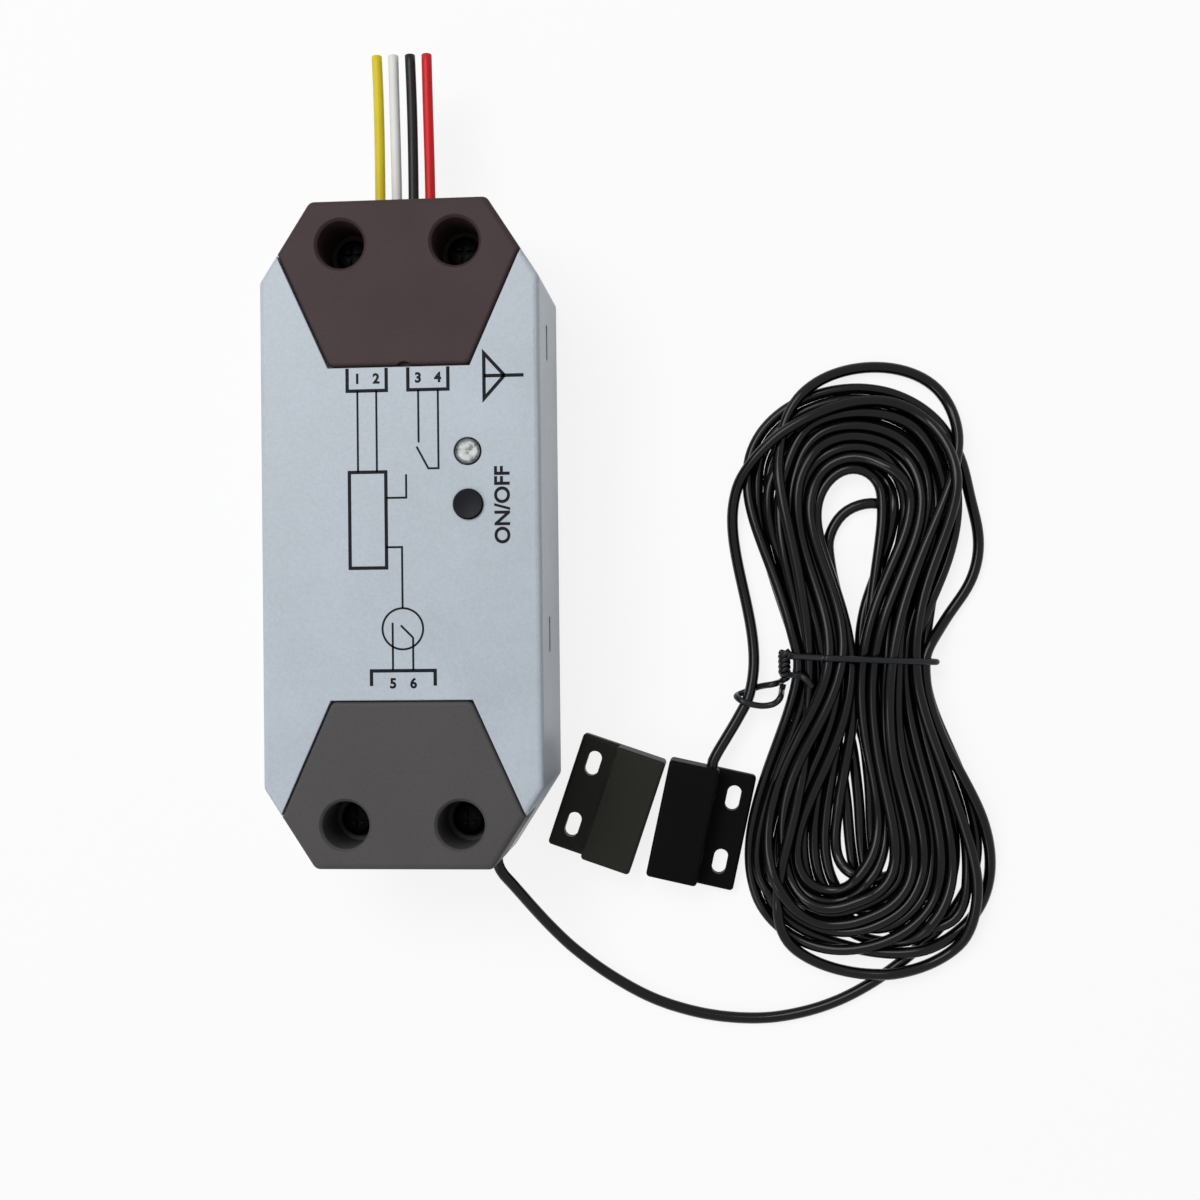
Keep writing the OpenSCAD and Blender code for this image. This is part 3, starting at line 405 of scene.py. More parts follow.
CORD_D = 1.75
CORD_R = CORD_D / 2
CORD_X = 11.975
EXIT_Z = 12
JACKET_END = -41
FLOOR_Z = CORD_R + 0.02
HANK_AT = (68.2, -19.5)
TIE_Y = -19.4
TIE_R = 0.5
WAIST_HALF = 10.7
LAYERS = 4
LOOPS = 4
LAYER_TURNS = LOOPS + 0.5
TURN_STEP = 1 / 24
FIRST_TURN = 14 / 24
LAST_TURN = LAYERS * LAYER_TURNS - 22 / 24
LAYER_RISE = 2.2
WAIST_IN = 0.95
WAIST_STEP = 2.0
WAIST_SHIFT = -1.1
STEP = 1.0
TIGHTEST = 6.0

# Reach and half-width of a layer's innermost loop, what each further loop adds to them, and the side shift
TOPS = np.array([[29.0, 2.9, 6.3, 2.0, -0.9], [29.8, 2.8, 6.5, 2.0, -0.4],
                 [29.4, 2.9, 6.2, 2.1, -0.8], [30.2, 2.7, 6.7, 1.95, -0.2]])
FEET = np.array([[37.4, 1.8, 5.6, 1.8, 7.5], [37.8, 1.8, 5.6, 1.8, 1.7],
                 [38.0, 1.75, 6.0, 2.35, -4.0], [37.2, 1.8, 6.0, 2.35, -4.6]])
# Loops that differ: at the upper eye, the outer arc, on the floor under the lower eye, and two loose feet
TOP_ARCS = {4: (24.4, 5.8, 2.4), 13: (30.6, 6.15, -0.5), 16: (45.4, 13.2, 2.4)}
FOOT_ARCS = {0: (44.6, 11.0, 7.6), 1: (43.6, 8.5, 7.9), 2: (41.4, 7.05, 7.8), 3: (38.8, 5.6, 7.65),
             8: (45.2, 16.5, 2.4), 16: (48.6, 13.4, 3.0)}
CROSSING = 4
HIGH_ARC = 16
LONG_FOOT = 16
LONG_LEFT = 16.5
SLACK_RUN = (8.770, 8.852)
SLACK = 12.0
# Where a layer's climb starts and how long it takes, and how much less each further foot leans
CLIMB = (0.2, 0.6)
FOOT_FADE = 0.09
# The sine where a loop is widest, and one over its squared cosine there
WIDEST = 0.577
SWELL = 1.5
# How far loops and waist columns stray, and how many draws there are of each
LOOSE = 0.5
COLUMN_LOOSE = 0.25
DRAWS = 20
SEED = 5
# The eye of the upper loops: where it closes above the tie, and its sides at its widest
EYE_FOOT = (67.1, -17.0)
EYE_SIDES = (62.6, 69.0)
EYE_TOP = 6.0


def ease(t):
    """A soft step from 0 to 1."""
    c = min(max(t, 0.0), 1.0)
    return c * c * (3 - 2 * c)


def hank_route():
    """The loops before they settle, from the box's side to the reed switch's: places and turn numbers."""
    rng = np.random.default_rng(SEED)
    tops = rng.uniform(-LOOSE, LOOSE, (DRAWS, 3))
    feet = rng.uniform(-LOOSE, LOOSE, (DRAWS, 3))
    columns = rng.uniform(-COLUMN_LOOSE, COLUMN_LOOSE, 2 * DRAWS)
    out = []
    for t in np.arange(FIRST_TURN, LAST_TURN, TURN_STEP):
        j = min(int(t // LAYER_TURNS), LAYERS - 1)
        u = t - j * LAYER_TURNS
        wound = min(u, 2 * LOOPS + 0.5 - u)
        s = LOOPS - wound if j % 2 == 0 else wound
        climb = ease((2 * (u - LOOPS) - CLIMB[0]) / CLIMB[1])
        c = math.cos(2 * math.pi * t)
        side = -math.sin(2 * math.pi * t)
        up = c > 0
        table = TOPS if up else FEET
        a = table[j] + (table[min(j + 1, LAYERS - 1)] - table[j]) * climb
        k = int(round(t)) if up else int(math.floor(t))
        aside = a[4] if up else a[4] * (1 - FOOT_FADE * s)
        shape = np.array([a[0] + a[1] * s, a[2] + a[3] * s, aside]) + (tops if up else feet)[k]
        reach, half, shift = (TOP_ARCS if up else FOOT_ARCS).get(k, shape)
        if k == LONG_FOOT and not up and side < 0:
            half = LONG_LEFT
        rise = CORD_D * c * c if up and k > HIGH_ARC else 0.0
        if up and k < CROSSING:
            rise = CORD_D * min(1.0, 4 * c * c)
        column = WAIST_IN + WAIST_STEP * s + columns[int(2 * t)]
        swell = (half / WIDEST - column) * SWELL
        lean = c * c if up else 1 - (1 + c) ** 2
        x = side * (column + swell * c * c) + shift * lean + WAIST_SHIFT * (1 - abs(c)) ** 2
        if SLACK_RUN[0] < t < SLACK_RUN[1]:
            f = (t - SLACK_RUN[0]) / (SLACK_RUN[1] - SLACK_RUN[0])
            x += SLACK * math.sin(math.pi * f) ** 2
        z = FLOOR_Z + LAYER_RISE * (j + climb) + rise
        out.append([HANK_AT[0] + x, HANK_AT[1] + reach * c, z, t])
    return out


# Pairs of points count as near within this distance, unless they are that few steps apart along the cord
NEAR = CORD_D + 1.0
SKIP = 8
CHUNK = 400


def near_pairs(p):
    """Pairs of points of different strands that are near each other."""
    square = (p * p).sum(1)
    out = []
    for a in range(0, len(p), CHUNK):
        b = min(a + CHUNK, len(p))
        gap = square[a:b, None] + square[None, :] - 2 * (p[a:b] @ p.T)
        i, j = np.nonzero(gap < NEAR * NEAR)
        keep = j > i + a + SKIP
        out.append(np.column_stack([i[keep] + a, j[keep]]))
    return np.vstack(out)


def keep_length(p, rest, w):
    """Brings each step of the line back to its length, every second step at a time."""
    for first in (0, 1):
        seg = np.arange(first, len(p) - 1, 2)
        d = p[seg + 1] - p[seg]
        length = np.linalg.norm(d, axis=1)
        wa, wb = w[seg], w[seg + 1]
        share = (length - rest[seg]) / np.maximum(length, 1e-9) / np.maximum(wa + wb, 1e-9)
        p[seg] += (share * wa)[:, None] * d
        p[seg + 1] -= (share * wb)[:, None] * d


# Shares of a correction that one round makes
OPENING = 0.4
CROWD = 0.6
FINE_SHARE = 0.6
LONG_SHARE = 0.25
LONG_STRIDE = 4


def keep_round(p, w, reach=3):
    """Opens bends tighter than the limit."""
    limit = (reach * STEP) ** 2 / (2 * TIGHTEST)
    mid = 0.5 * (p[:-2 * reach] + p[2 * reach:]) - p[reach:-reach]
    size = np.linalg.norm(mid, axis=1)
    excess = np.maximum(size - limit, 0) / np.maximum(size, 1e-9)
    p[reach:-reach] += OPENING * (excess * w[reach:-reach])[:, None] * mid


def even_out(p, w, stride, share):
    """Evens out bends shorter than a few strides."""
    q = [p[i * stride:len(p) - (4 - i) * stride] for i in range(5)]
    fine = (4 * (q[1] + q[3]) - q[0] - q[4] - 6 * q[2]) / 16
    p[2 * stride:-2 * stride] += share * fine * w[2 * stride:-2 * stride, None]


def push_apart(p, pairs, w):
    """Moves strands that lie in each other apart."""
    a, b = pairs[:, 0], pairs[:, 1]
    d = p[b] - p[a]
    dist = np.linalg.norm(d, axis=1)
    hit = dist < CORD_D
    a, b, d, dist = a[hit], b[hit], d[hit], dist[hit]
    push = ((CORD_D - dist) / np.maximum(dist, 1e-6))[:, None] * d * 0.5
    move = np.zeros_like(p)
    count = np.zeros(len(p))
    np.add.at(move, a, -push)
    np.add.at(move, b, push)
    np.add.at(count, a, 1)
    np.add.at(count, b, 1)
    p += move * (w / np.maximum(count * CROWD, 1))[:, None]


# How far along the strands the tie lifts them and holds them in
LIFT_SPAN = 5
WAIST_BAND = 1.5
# A point of the reed half's outer edge and how far that edge leans, its gap, and its span beside the hank
REED_EDGE = (49.74, -46.79, 0.2217)
REED_GAP = 0.15
REED_SPAN = (-56.5, -37)


def keep_clear(p, tied, left, right):
    """Keeps the strands on the floor, within the tie, beside the eye and beside the reed half."""
    away = p[:, 1] - TIE_Y
    lowest = FLOOR_Z + np.where(tied, 2 * TIE_R * np.exp(-(away / LIFT_SPAN) ** 2), 0)
    p[:, 2] = np.maximum(p[:, 2], lowest)
    waist = tied & (np.abs(away) < WAIST_BAND)
    side = WAIST_HALF - CORD_R
    p[waist, 0] = np.clip(p[waist, 0], HANK_AT[0] - side, HANK_AT[0] + side)
    up = (p[:, 1] - EYE_FOOT[1]) / (EYE_TOP - EYE_FOOT[1])
    level = (up > 0) & (up < 1)
    bound = EYE_FOOT[0] + (EYE_SIDES[0] - EYE_FOOT[0]) * up - CORD_R
    at = left & level
    p[at, 0] = np.minimum(p[at, 0], bound[at])
    bound = EYE_FOOT[0] + (EYE_SIDES[1] - EYE_FOOT[0]) * up + CORD_R
    at = right & level
    p[at, 0] = np.maximum(p[at, 0], bound[at])
    edge = REED_EDGE[0] + REED_EDGE[2] * (p[:, 1] - REED_EDGE[1]) + CORD_R + REED_GAP
    beside = tied & (p[:, 1] > REED_SPAN[0]) & (p[:, 1] < REED_SPAN[1])
    p[beside, 0] = np.maximum(p[beside, 0], edge[beside])


# A run counts as straight up to a certain turn, apart from the slack one
BEND_REACH = 5
STRAIGHT = (1.3, 14)
SLACK_ROOM = (0.02, 0.03)
# The strand across the eye may pass through its bounds
CROSSING_ROOM = 0.12
SOLVES = 4
REFRESH = 4
DAMPING = 0.75
SLIP = 0.1
GIVE = (0.9, 1.05)


def settle(p, turns, rest, fixed, tied, rounds, sink):
    """Lets the cord sink on itself and on the floor."""
    free = ~fixed
    w = free.astype(float)
    home = p.copy()
    t = tangents(p)
    turn = np.zeros(len(p))
    ahead = 2 * BEND_REACH
    turn[BEND_REACH:-BEND_REACH] = np.linalg.norm(t[ahead:] - t[:-ahead], axis=1) / (ahead * STEP)
    straight = w * np.clip(STRAIGHT[0] - STRAIGHT[1] * turn, 0, 1)
    straight[(turns > SLACK_RUN[0] - SLACK_ROOM[0]) & (turns < SLACK_RUN[1] + SLACK_ROOM[1])] = 0
    strict = tied & (np.abs(turns - CROSSING) > CROSSING_ROOM)
    left = strict & (turns % 1 < 0.5)
    right = strict & (turns % 1 > 0.5)
    for it in range(rounds):
        before = p.copy()
        p[free, 2] -= sink
        if it % REFRESH == 0:
            pairs = near_pairs(p)
        for again in range(SOLVES):
            keep_length(p, rest, w)
            keep_round(p, w)
            even_out(p, w, 1, FINE_SHARE)
            even_out(p, straight, LONG_STRIDE, LONG_SHARE)
            push_apart(p, pairs, w)
            keep_clear(p, tied, left, right)
        p[:, :2] = before[:, :2] + DAMPING * (p[:, :2] - before[:, :2])
        p[fixed] = home[fixed]
        # A strand slides on where it has length to spare, so none buckles
        length = np.linalg.norm(np.diff(p, axis=0), axis=1)
        rest += SLIP * (np.clip(length, GIVE[0] * STEP, GIVE[1] * STEP) - rest)


def round_off(p, w, rounds):
    """Opens the tight bends that are left, while the strands stay apart and on the floor."""
    for it in range(rounds):
        push_apart(p, near_pairs(p), w)
        p[:, 2] = np.maximum(p[:, 2], FLOOR_Z)
        keep_round(p, w, 2)
        keep_round(p, w)
        even_out(p, w, 1, FINE_SHARE)
    p[:, 2] = np.maximum(p[:, 2], FLOOR_Z)


# Where the cord goes into the reed half
REED_AT = np.array([43.0, -45.3])
REED_TURN = math.radians(-12.5)
ENTRY_ASIDE = 0.275
ENTRY_AHEAD = 8.25
ENTRY_Z = 3.0
entry_dir = np.array([-math.sin(REED_TURN), math.cos(REED_TURN), 0.0])
entry_across = np.array([math.cos(REED_TURN), math.sin(REED_TURN), 0.0])
entry = np.append(REED_AT, ENTRY_Z) - ENTRY_ASIDE * entry_across + ENTRY_AHEAD * entry_dir

LEAD_ROUTE = [[CORD_X, JACKET_END, EXIT_Z], [CORD_X, -46, EXIT_Z], [CORD_X, -49, EXIT_Z],
              [CORD_X + 0.1, -49.9, 11.95], [12.7, -51.4, 11.6], [13.9, -53, 10.8], [15.3, -55, 9.5],
              [17.1, -57.6, 7.8], [19.6, -60.9, 5.8], [23, -64.7, 3.7], [28.2, -69, 1.9],
              [34.5, -72.7, 1.0], [40.8, -74.8, FLOOR_Z], [47, -75.8, FLOOR_Z], [53.4, -75.8, FLOOR_Z],
              [59.6, -74.6, FLOOR_Z], [65, -72.6, FLOOR_Z], [70, -70, FLOOR_Z], [75, -66.8, FLOOR_Z]]
TAIL_ROUTE = [[49.8, 7.6, 6.6], [48.9, 3.6, 4.8], [48.8, -0.6, 3], [49.4, -5.2, 1.6], [50.4, -10, FLOOR_Z],
              [51.2, -15, FLOOR_Z], [51.5, -20, 1.7], [50.7, -25, 2.6], [49, -28.4, 2.9], [47.2, -31.4, 3],
              [45.9, -33.5, 3], list(entry + 2 * entry_dir), list(entry + 1.1 * entry_dir), list(entry)]
LEAD_POINTS = 75
TAIL_POINTS = 62
HELD_POINTS = 16
# Stretches that stay as laid: three floor loops under the lower eye, and the strand across the upper eye
HELD_TURNS = [(1.3, 1.47), (2.3, 2.47), (3.3, 3.47), (3.8, 4.1)]
SINK = 0.04
SINK_ROUNDS = 160
CALM_ROUNDS = 60
LAST_ROUNDS = 20

route = [q + [0.0] for q in LEAD_ROUTE] + hank_route()[1:-1] + [q + [LAST_TURN + 1] for q in TAIL_ROUTE]
route = resample(catmull(route, 4), STEP)
cord_path, cord_turns = route[:, :3].copy(), route[:, 3]
rest_lengths = np.linalg.norm(np.diff(cord_path, axis=0), axis=1)
cord_fixed = np.zeros(len(cord_path), bool)
cord_fixed[:LEAD_POINTS] = True
cord_fixed[-HELD_POINTS:] = True
cord_tied = ~cord_fixed
cord_tied[-TAIL_POINTS:] = False
for first, last in HELD_TURNS:
    cord_fixed[(cord_turns > first) & (cord_turns < last)] = True
settle(cord_path, cord_turns, rest_lengths, cord_fixed, cord_tied, SINK_ROUNDS, SINK)
settle(cord_path, cord_turns, rest_lengths, cord_fixed, cord_tied, CALM_ROUNDS, 0.0)
hank_points = np.zeros(len(cord_path))
hank_points[LEAD_POINTS:-HELD_POINTS] = 1.0
round_off(cord_path, hank_points, LAST_ROUNDS)

sensor_cord = curve_piece("sensor_cord", cord_path, CORD_R, MATERIALS["cord_black"])
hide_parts("cord_lead", "cord_hank", "cord_tail")


# Tie: one wire round the waist, twisted with itself at the left, with a free end and a loop round the tail


TIE_ENDS = ((56.7, -18.9), (78.8, -20.0))
TIE_SLOPE = (TIE_ENDS[1][1] - TIE_ENDS[0][1]) / (TIE_ENDS[1][0] - TIE_ENDS[0][0])
TIE_FLOOR = TIE_R + 0.02
TIE_STEP = 0.3
AROUND = CORD_R + TIE_R
# Half the width of the band of strands that the wire is drawn round, and its angles round them in degrees
BAND_HALF = 1.2
BAND_ANGLES = (168, -172, -4)
TWIST_TURNS = 3
TWIST_STEPS = 36
TWIST_R = TIE_R * 1.04
TWIST_TOP = -18.2
TWIST_FOOT = (56.3, -23.0)
TWIST_ASIDE = 0.75
TWIST_BELOW = 0.2
TWIST_ABOVE = 0.3
# Places of the free end and its height above the strands, and how far down the twist it starts
FREE_END = ((60.3, -23.6, 0.0), (59.5, -22.6, 0.2), (58.4, -21.9, 0.3))
FREE_FROM = 0.78


def tie_level(x):
    """Where the tie lies along the strands."""
    return TIE_ENDS[0][1] + TIE_SLOPE * (x - TIE_ENDS[0][0])


def top_at(x, y):
    """Height of a tie wire's middle where it rests on the strands."""
    d2 = (cord_path[:, 0] - x) ** 2 + (cord_path[:, 1] - y) ** 2
    under = d2 < AROUND ** 2
    lying = cord_path[under, 2] + np.sqrt(AROUND ** 2 - d2[under])
    return float(lying.max()) if under.any() else TIE_R


def tie_band():
    """The wire drawn tight round the strands, from the left over the top to the right and back below."""
    inside = cord_tied & (np.abs(cord_path[:, 1] - TIE_Y) < BAND_HALF)
    xz = cord_path[inside][:, [0, 2]]
    out = []
    for angle in np.radians(np.arange(*BAND_ANGLES)):
        way = np.array([math.cos(angle), math.sin(angle)])
        x, z = xz[np.argmax(xz @ way)] + AROUND * way
        out.append([x, tie_level(x), max(z, TIE_FLOOR)])
    return out


band = tie_band()
twist_from = np.array([band[0][0] - TWIST_ASIDE, TWIST_TOP, band[0][2] - TWIST_BELOW])
twist_to = np.array([*TWIST_FOOT, top_at(*TWIST_FOOT) + TWIST_ABOVE])


def twist(phase, foot):
    """One of the two wires of the twist, from its top down to a part of its length."""
    out = []
    for f in np.arange(0, foot + 0.001, 1 / TWIST_STEPS):
        a = 2 * math.pi * TWIST_TURNS * f + phase
        middle = twist_from + f * (twist_to - twist_from)
        out.append(list(middle + TWIST_R * np.array([math.cos(a), 0, math.sin(a)])))
    return out


free_end = [[x, y, top_at(x, y) + above] for x, y, above in FREE_END]
low = float(twist_to[2])
tail_loop = [[54.4, -23.3, 3.6], [52.4, -23.7, 1.9], [50.6, -24.4, 1.1], [49.0, -25.0, 1.4],
             [48.75, -25.3, 2.8], [49.6, -25.9, 3.85], [51.0, -26.4, 3.7], [52.8, -26.7, 3.0],
             [54.5, -26.4, 3.0], [55.5, -25.4, 3.5], [55.9, -24.2, low - 0.7], [56.1, -23.4, low - 0.9]]
tie_points = free_end + twist(0.0, FREE_FROM)[::-1] + band[2:] + twist(math.pi, 1.0)[1:] + tail_loop
tie_path = resample(catmull(tie_points, 4), TIE_STEP)
tie_path[:, 2] = np.maximum(tie_path[:, 2], TIE_FLOOR)
tie_wire = curve_piece("tie_wire", tie_path, TIE_R, MATERIALS["tie_black"])
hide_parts("hank_tie")


# The cord's two cores, from its jacket to the terminal block


CORE_R = 0.35
CORE_RISE = 1.3
CORES_APART = 0.7
MOUTH_Y = -35.5
SENSOR_WAYS = (-1.3, 1.3)
cores = []
for i, way in enumerate(SENSOR_WAYS):
    s = 2 * i - 1
    z = EXIT_Z + s * CORE_R * CORE_RISE
    aside = s * CORES_APART
    core_points = [[CORD_X, JACKET_END, z], [CORD_X, -40.4, z], [CORD_X, -39.8, z],
                   [CORD_X - 2, -38.5 + aside, z], [CORD_X - 5.5, -38.5 + aside, z],
                   [way + 2, -37.5 + aside, z], [way, MOUTH_Y - 0.4, EXIT_Z], [way, MOUTH_Y + 4, EXIT_Z]]
    cores.append(tube(catmull(core_points, 5), CORE_R, 10, [(0.0, CORE_R)]))
cord_cores = new_piece("core_wires", *joined(cores), MATERIALS["core_red"])
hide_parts("cord_cores")


# Leads: four cut wires, each with its stranded copper


LEAD_R = 0.8
LEAD_SIDES = 20
LEAD_STEPS = 30
LEAD_FROM = 35.7
LEAD_END = 74.4
LEAD_EXIT = 49.0
LEAD_SHIFT = 0.45
LEAD_SAG = 0.35
COPPER_R = 0.4
COPPER_FROM = 31.7
COPPER_BACK = 0.08
STRANDS = 7
STRAND_R = COPPER_R / 3
STRAND_FIT = STRAND_R * 0.98
STRAND_SIDES = 8
STRAND_TWIST = 9
# The cut end: a small bevel, the face, and the bore round the copper
LEAD_CUT = [(0.06, LEAD_R), (0.0, LEAD_R - 0.06), (0.0, COPPER_R + 0.05), (0.6, COPPER_R + 0.04)]
# Place across the box, and sway
LEADS = {"yellow": (-5.1, 0.12), "white": (-2.5, -0.1), "black": (0.1, 0.08), "red": (2.7, -0.12)}


def lead_path(x, start, sway):
    """A lead's line: straight inside the box, then slightly curved and sagging."""
    out = []
    for y in np.arange(start, LEAD_END + 0.01, (LEAD_END - start) / LEAD_STEPS):
        f = max(0.0, (y - LEAD_EXIT) / (LEAD_END - LEAD_EXIT))
        bow = sway * math.sin(math.pi * f) * f
        out.append([x - LEAD_SHIFT * f * f + bow, y, EXIT_Z - LEAD_SAG * f * f])
    return np.array(out)


copper = []
for colour, (x, sway) in LEADS.items():
    path = lead_path(x, LEAD_FROM, sway)
    shape = tube(path, LEAD_R, LEAD_SIDES, LEAD_CUT)
    lead = new_piece("wire_" + colour, *shape, MATERIALS["insulation_" + colour])
    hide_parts("lead_" + colour)
    middle = lead_path(x, COPPER_FROM, sway)
    middle[-1, 1] -= COPPER_BACK
    for k in range(STRANDS):
        turn = np.radians(60 * k + STRAND_TWIST * (middle[:, 1] - COPPER_FROM))
        off = 0 if k == STRANDS - 1 else 2 * STRAND_R
        strand = middle + np.column_stack([off * np.cos(turn), 0 * turn, off * np.sin(turn)])
        copper.append(tube(strand, STRAND_FIT, STRAND_SIDES, [(0.0, STRAND_FIT)]))
strands = new_piece("copper_strands", *joined(copper), MATERIALS["copper"])
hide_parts("lead_conductors")


# Print on the panel: brackets over the terminals, numbers, wiring lines, ON and OFF, and a plain antenna


PANEL_Z = 24.0
INK_H = 0.02
LETTER_SPREAD = 0.00008
NUMBER_SIZE = 2.0
WORD_SIZE = 3.1


def stroke(points, width):
    """A flat printed line with square ends along points."""
    p = np.array(points, float)
    d = np.diff(p, axis=0)
    d = d / np.linalg.norm(d, axis=1)[:, None]
    n = np.column_stack([-d[:, 1], d[:, 0]])
    side = np.vstack([n[:1], (n[:-1] + n[1:]) / (1 + (n[:-1] * n[1:]).sum(1))[:, None], n[-1:]])
    count = len(p)
    verts = []
    for z in (PANEL_Z - INK_H, PANEL_Z + INK_H):
        for s in (-0.5, 0.5):
            verts += [[*(p[i] + s * width * side[i]), z] for i in range(count)]
    a, b, c, e = 0, count, 2 * count, 3 * count
    faces = []
    for i in range(count - 1):
        faces.append((c + i, c + i + 1, e + i + 1, e + i))
        faces.append((a + i, b + i, b + i + 1, a + i + 1))
        faces.append((a + i, a + i + 1, c + i + 1, c + i))
        faces.append((b + i, e + i, e + i + 1, b + i + 1))
    faces.append((a, c, e, b))
    last = count - 1
    faces.append((a + last, b + last, e + last, c + last))
    return np.array(verts) * MM, faces


def label(name, words, place, size, turned=False):
    """Plain lettering as thin solid ink."""
    data = bpy.data.curves.new(name, "FONT")
    data.body = words
    data.size = size * MM
    data.align_x = "CENTER"
    data.align_y = "CENTER"
    data.extrude = INK_H * MM
    data.resolution_u = 6
    data.offset = LETTER_SPREAD
    data.materials.append(PRINT_INK)
    obj = bpy.data.objects.new(name, data)
    obj.location = Vector((place[0], place[1], PANEL_Z)) * MM
    obj.rotation_euler = (0, 0, math.pi / 2 if turned else 0)
    bpy.context.scene.collection.objects.link(obj)
    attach(obj, "housing")


def arc(middle, radius, start, end, count):
    """Points of a printed arc, between two angles in degrees."""
    turn = np.radians(np.linspace(start, end, count))
    return [[middle[0] + radius * math.cos(a), middle[1] + radius * math.sin(a)] for a in turn]


def box_lines(low, high):
    """A printed rectangle, from the middle of its lower side round to there again."""
    mid = (low[0] + high[0]) / 2
    corners = [[low[0], low[1]], [low[0], high[1]], [high[0], high[1]], [high[0], low[1]]]
    return [[mid, low[1]], *corners, [mid, low[1]]]


THIN = 0.3
BOLD = 0.5
SKETCH = [
    # Brackets over the terminals
    ([[-7.6, 24.2], [-7.6, 20.9], [-1.8, 20.9], [-1.8, 24.2]], BOLD),
    ([[1.4, 24.2], [1.4, 20.9], [7.3, 20.9], [7.3, 24.2]], BOLD),
    ([[-4.4, -22.2], [-4.4, -20.0], [5.0, -20.0], [5.0, -22.2]], BOLD),
    # Supply to the control block
    ([[-6.1, 20.9], [-6.1, 9.0]], THIN),
    ([[-3.3, 20.9], [-3.3, 9.0]], THIN),
    (box_lines((-7.4, -5.0), (-2.0, 9.0)), BOLD),
    # Relay contact
    ([[2.9, 20.9], [2.9, 13.2]], THIN),
    ([[5.8, 20.9], [5.8, 9.4], [4.3, 9.4], [2.6, 12.6]], THIN),
    ([[-2.0, 5.2], [1.0, 5.2], [1.0, 8.6]], THIN),
    # Door contact
    ([[-1.2, -20.0], [-1.2, -13.0]], THIN),
    ([[1.8, -20.0], [1.8, -15.2], [0.0, -13.4]], THIN),
    (arc((0.3, -13.9), 3.0, -90, 270, 40), THIN),
    ([[0.3, -10.9], [0.3, -2.0], [-2.0, -2.0]], THIN),
    # Antenna
    ([[18.4, 22.7], [12.6, 22.7]], BOLD),
    ([[15.6, 22.7], [12.6, 19.4], [12.6, 26.0], [15.6, 22.7]], BOLD),
]
NUMBERS = {"1": (-6.1, 22.6), "2": (-3.3, 22.6), "3": (2.9, 22.6), "4": (5.8, 22.6),
           "5": (-1.2, -21.9), "6": (1.8, -21.9)}
lines = [stroke(points, width) for points, width in SKETCH]
new_piece("print_lines", *joined(lines), PRINT_INK, smooth=False)
for words, place in NUMBERS.items():
    label("print_number_" + words, words, place, NUMBER_SIZE)
label("print_on_off", "ON/OFF", (15.2, 3.9), WORD_SIZE, turned=True)


# Stage and light


def plane(name, size, z, mat):
    """A square of the stage, which is no piece of the part."""
    half = size / 2
    verts = [(-half, -half, z), (half, -half, z), (half, half, z), (-half, half, z)]
    mesh = bpy.data.meshes.new(name)
    mesh.from_pydata(verts, [], [(0, 1, 2, 3)])
    mesh.materials.append(mat)
    obj = bpy.data.objects.new(name, mesh)
    bpy.context.scene.collection.objects.link(obj)


def seen_rays(tree):
    """1 for rays from the camera, from gloss and through clear plastic, else 0."""
    path = add(tree, "ShaderNodeLightPath")
    both = add(tree, "ShaderNodeMath", operation="MAXIMUM")
    tree.links.new(path.outputs["Is Camera Ray"], both.inputs[0])
    tree.links.new(path.outputs["Is Glossy Ray"], both.inputs[1])
    every = add(tree, "ShaderNodeMath", operation="MAXIMUM")
    tree.links.new(both.outputs[0], every.inputs[0])
    tree.links.new(path.outputs["Is Transmission Ray"], every.inputs[1])
    return every.outputs[0]


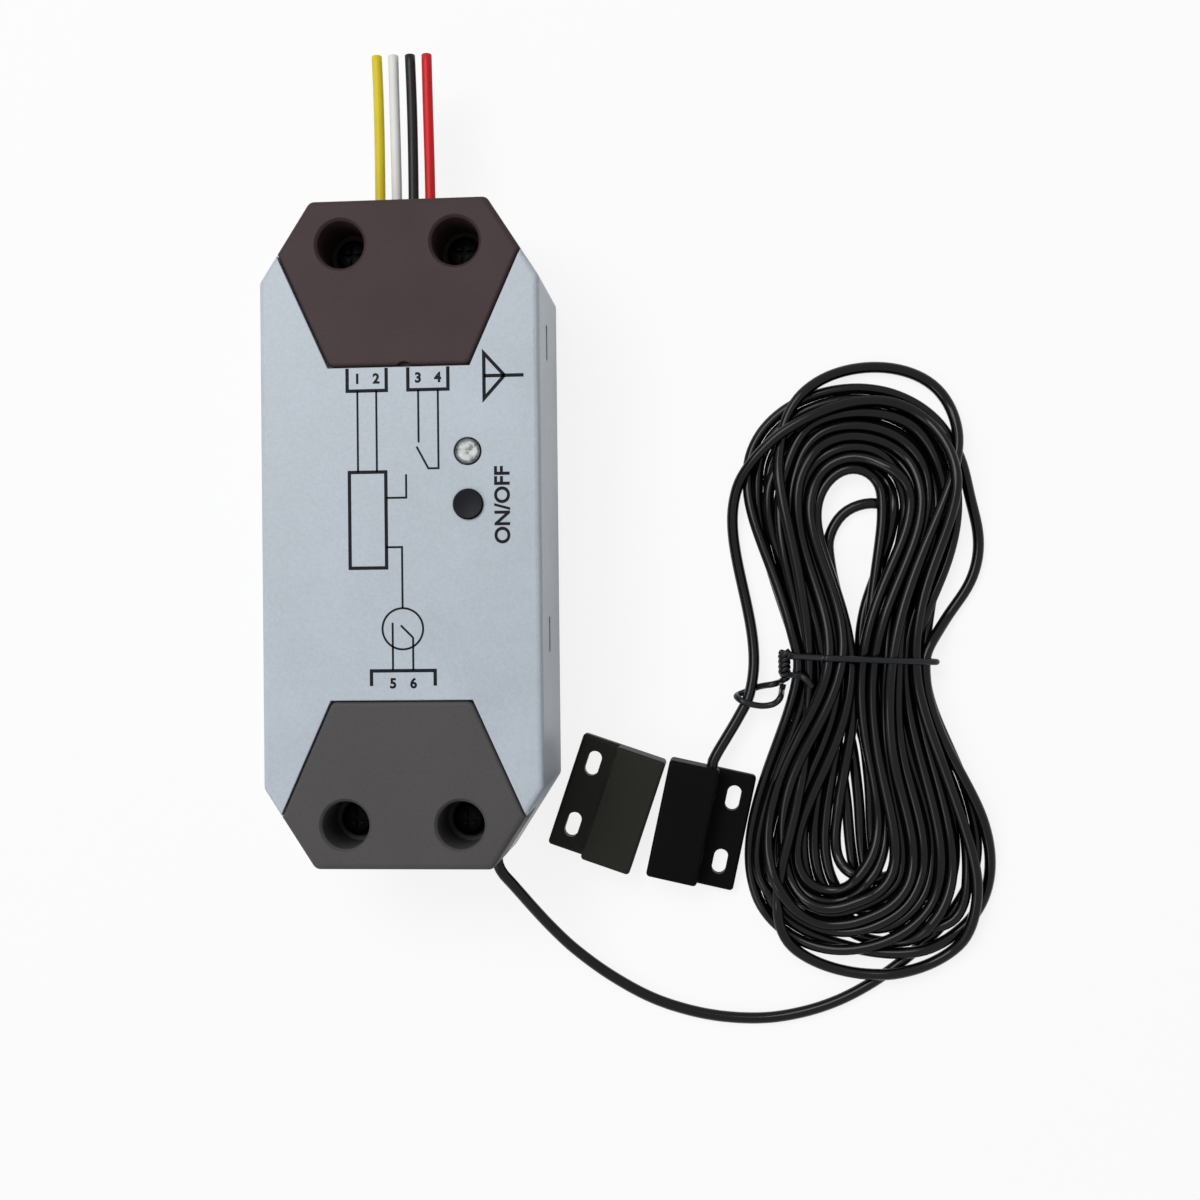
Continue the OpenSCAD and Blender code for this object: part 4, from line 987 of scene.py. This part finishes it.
# How much of the floor is plain white where it is seen, and how much light the world gives
FLOOR_WHITE = 0.85
FILL = 0.26
floor_mat = bpy.data.materials.new("floor_white")
floor_mat.use_nodes = True
tree = floor_mat.node_tree
tree.nodes.clear()
output = add(tree, "ShaderNodeOutputMaterial")
diffuse = add(tree, "ShaderNodeBsdfDiffuse", {"Color": (0.9, 0.9, 0.9, 1)})
glow = add(tree, "ShaderNodeEmission", {"Color": (1, 1, 1, 1), "Strength": 1.0})
share = add(tree, "ShaderNodeMath", {1: FLOOR_WHITE}, operation="MULTIPLY")
tree.links.new(seen_rays(tree), share.inputs[0])
blend = add(tree, "ShaderNodeMixShader")
tree.links.new(share.outputs[0], blend.inputs["Fac"])
tree.links.new(diffuse.outputs[0], blend.inputs[1])
tree.links.new(glow.outputs[0], blend.inputs[2])
tree.links.new(blend.outputs[0], output.inputs["Surface"])
plane("floor", 6.0, 0.0, floor_mat)

world = bpy.data.worlds.new("world")
bpy.context.scene.world = world
world.use_nodes = True
tree = world.node_tree
tree.nodes.clear()
output = add(tree, "ShaderNodeOutputWorld")
white = add(tree, "ShaderNodeBackground", {"Color": (1, 1, 1, 1), "Strength": 1.0})
fill = add(tree, "ShaderNodeBackground", {"Color": (0.97, 0.985, 1, 1), "Strength": FILL})
mix = add(tree, "ShaderNodeMixShader")
tree.links.new(seen_rays(tree), mix.inputs["Fac"])
tree.links.new(fill.outputs[0], mix.inputs[1])
tree.links.new(white.outputs[0], mix.inputs[2])
tree.links.new(mix.outputs[0], output.inputs["Surface"])


def lamp(name, place, target, size, power):
    """A rectangular lamp that faces a target."""
    data = bpy.data.lights.new(name, "AREA")
    data.shape = "RECTANGLE"
    data.size, data.size_y = size
    data.energy = power
    obj = bpy.data.objects.new(name, data)
    obj.location = place
    obj.rotation_euler = (Vector(target) - Vector(place)).to_track_quat("-Z", "Y").to_euler()
    bpy.context.scene.collection.objects.link(obj)


MIDDLE = (0.035, -0.01, 0.0)
lamp("key", (-0.33, 0.42, 0.93), MIDDLE, (0.8, 0.5), 7.95)
lamp("low", (-0.45, -0.35, 0.6), MIDDLE, (0.3, 0.3), 0.9)

bpy.context.scene.view_settings.view_transform = "Standard"
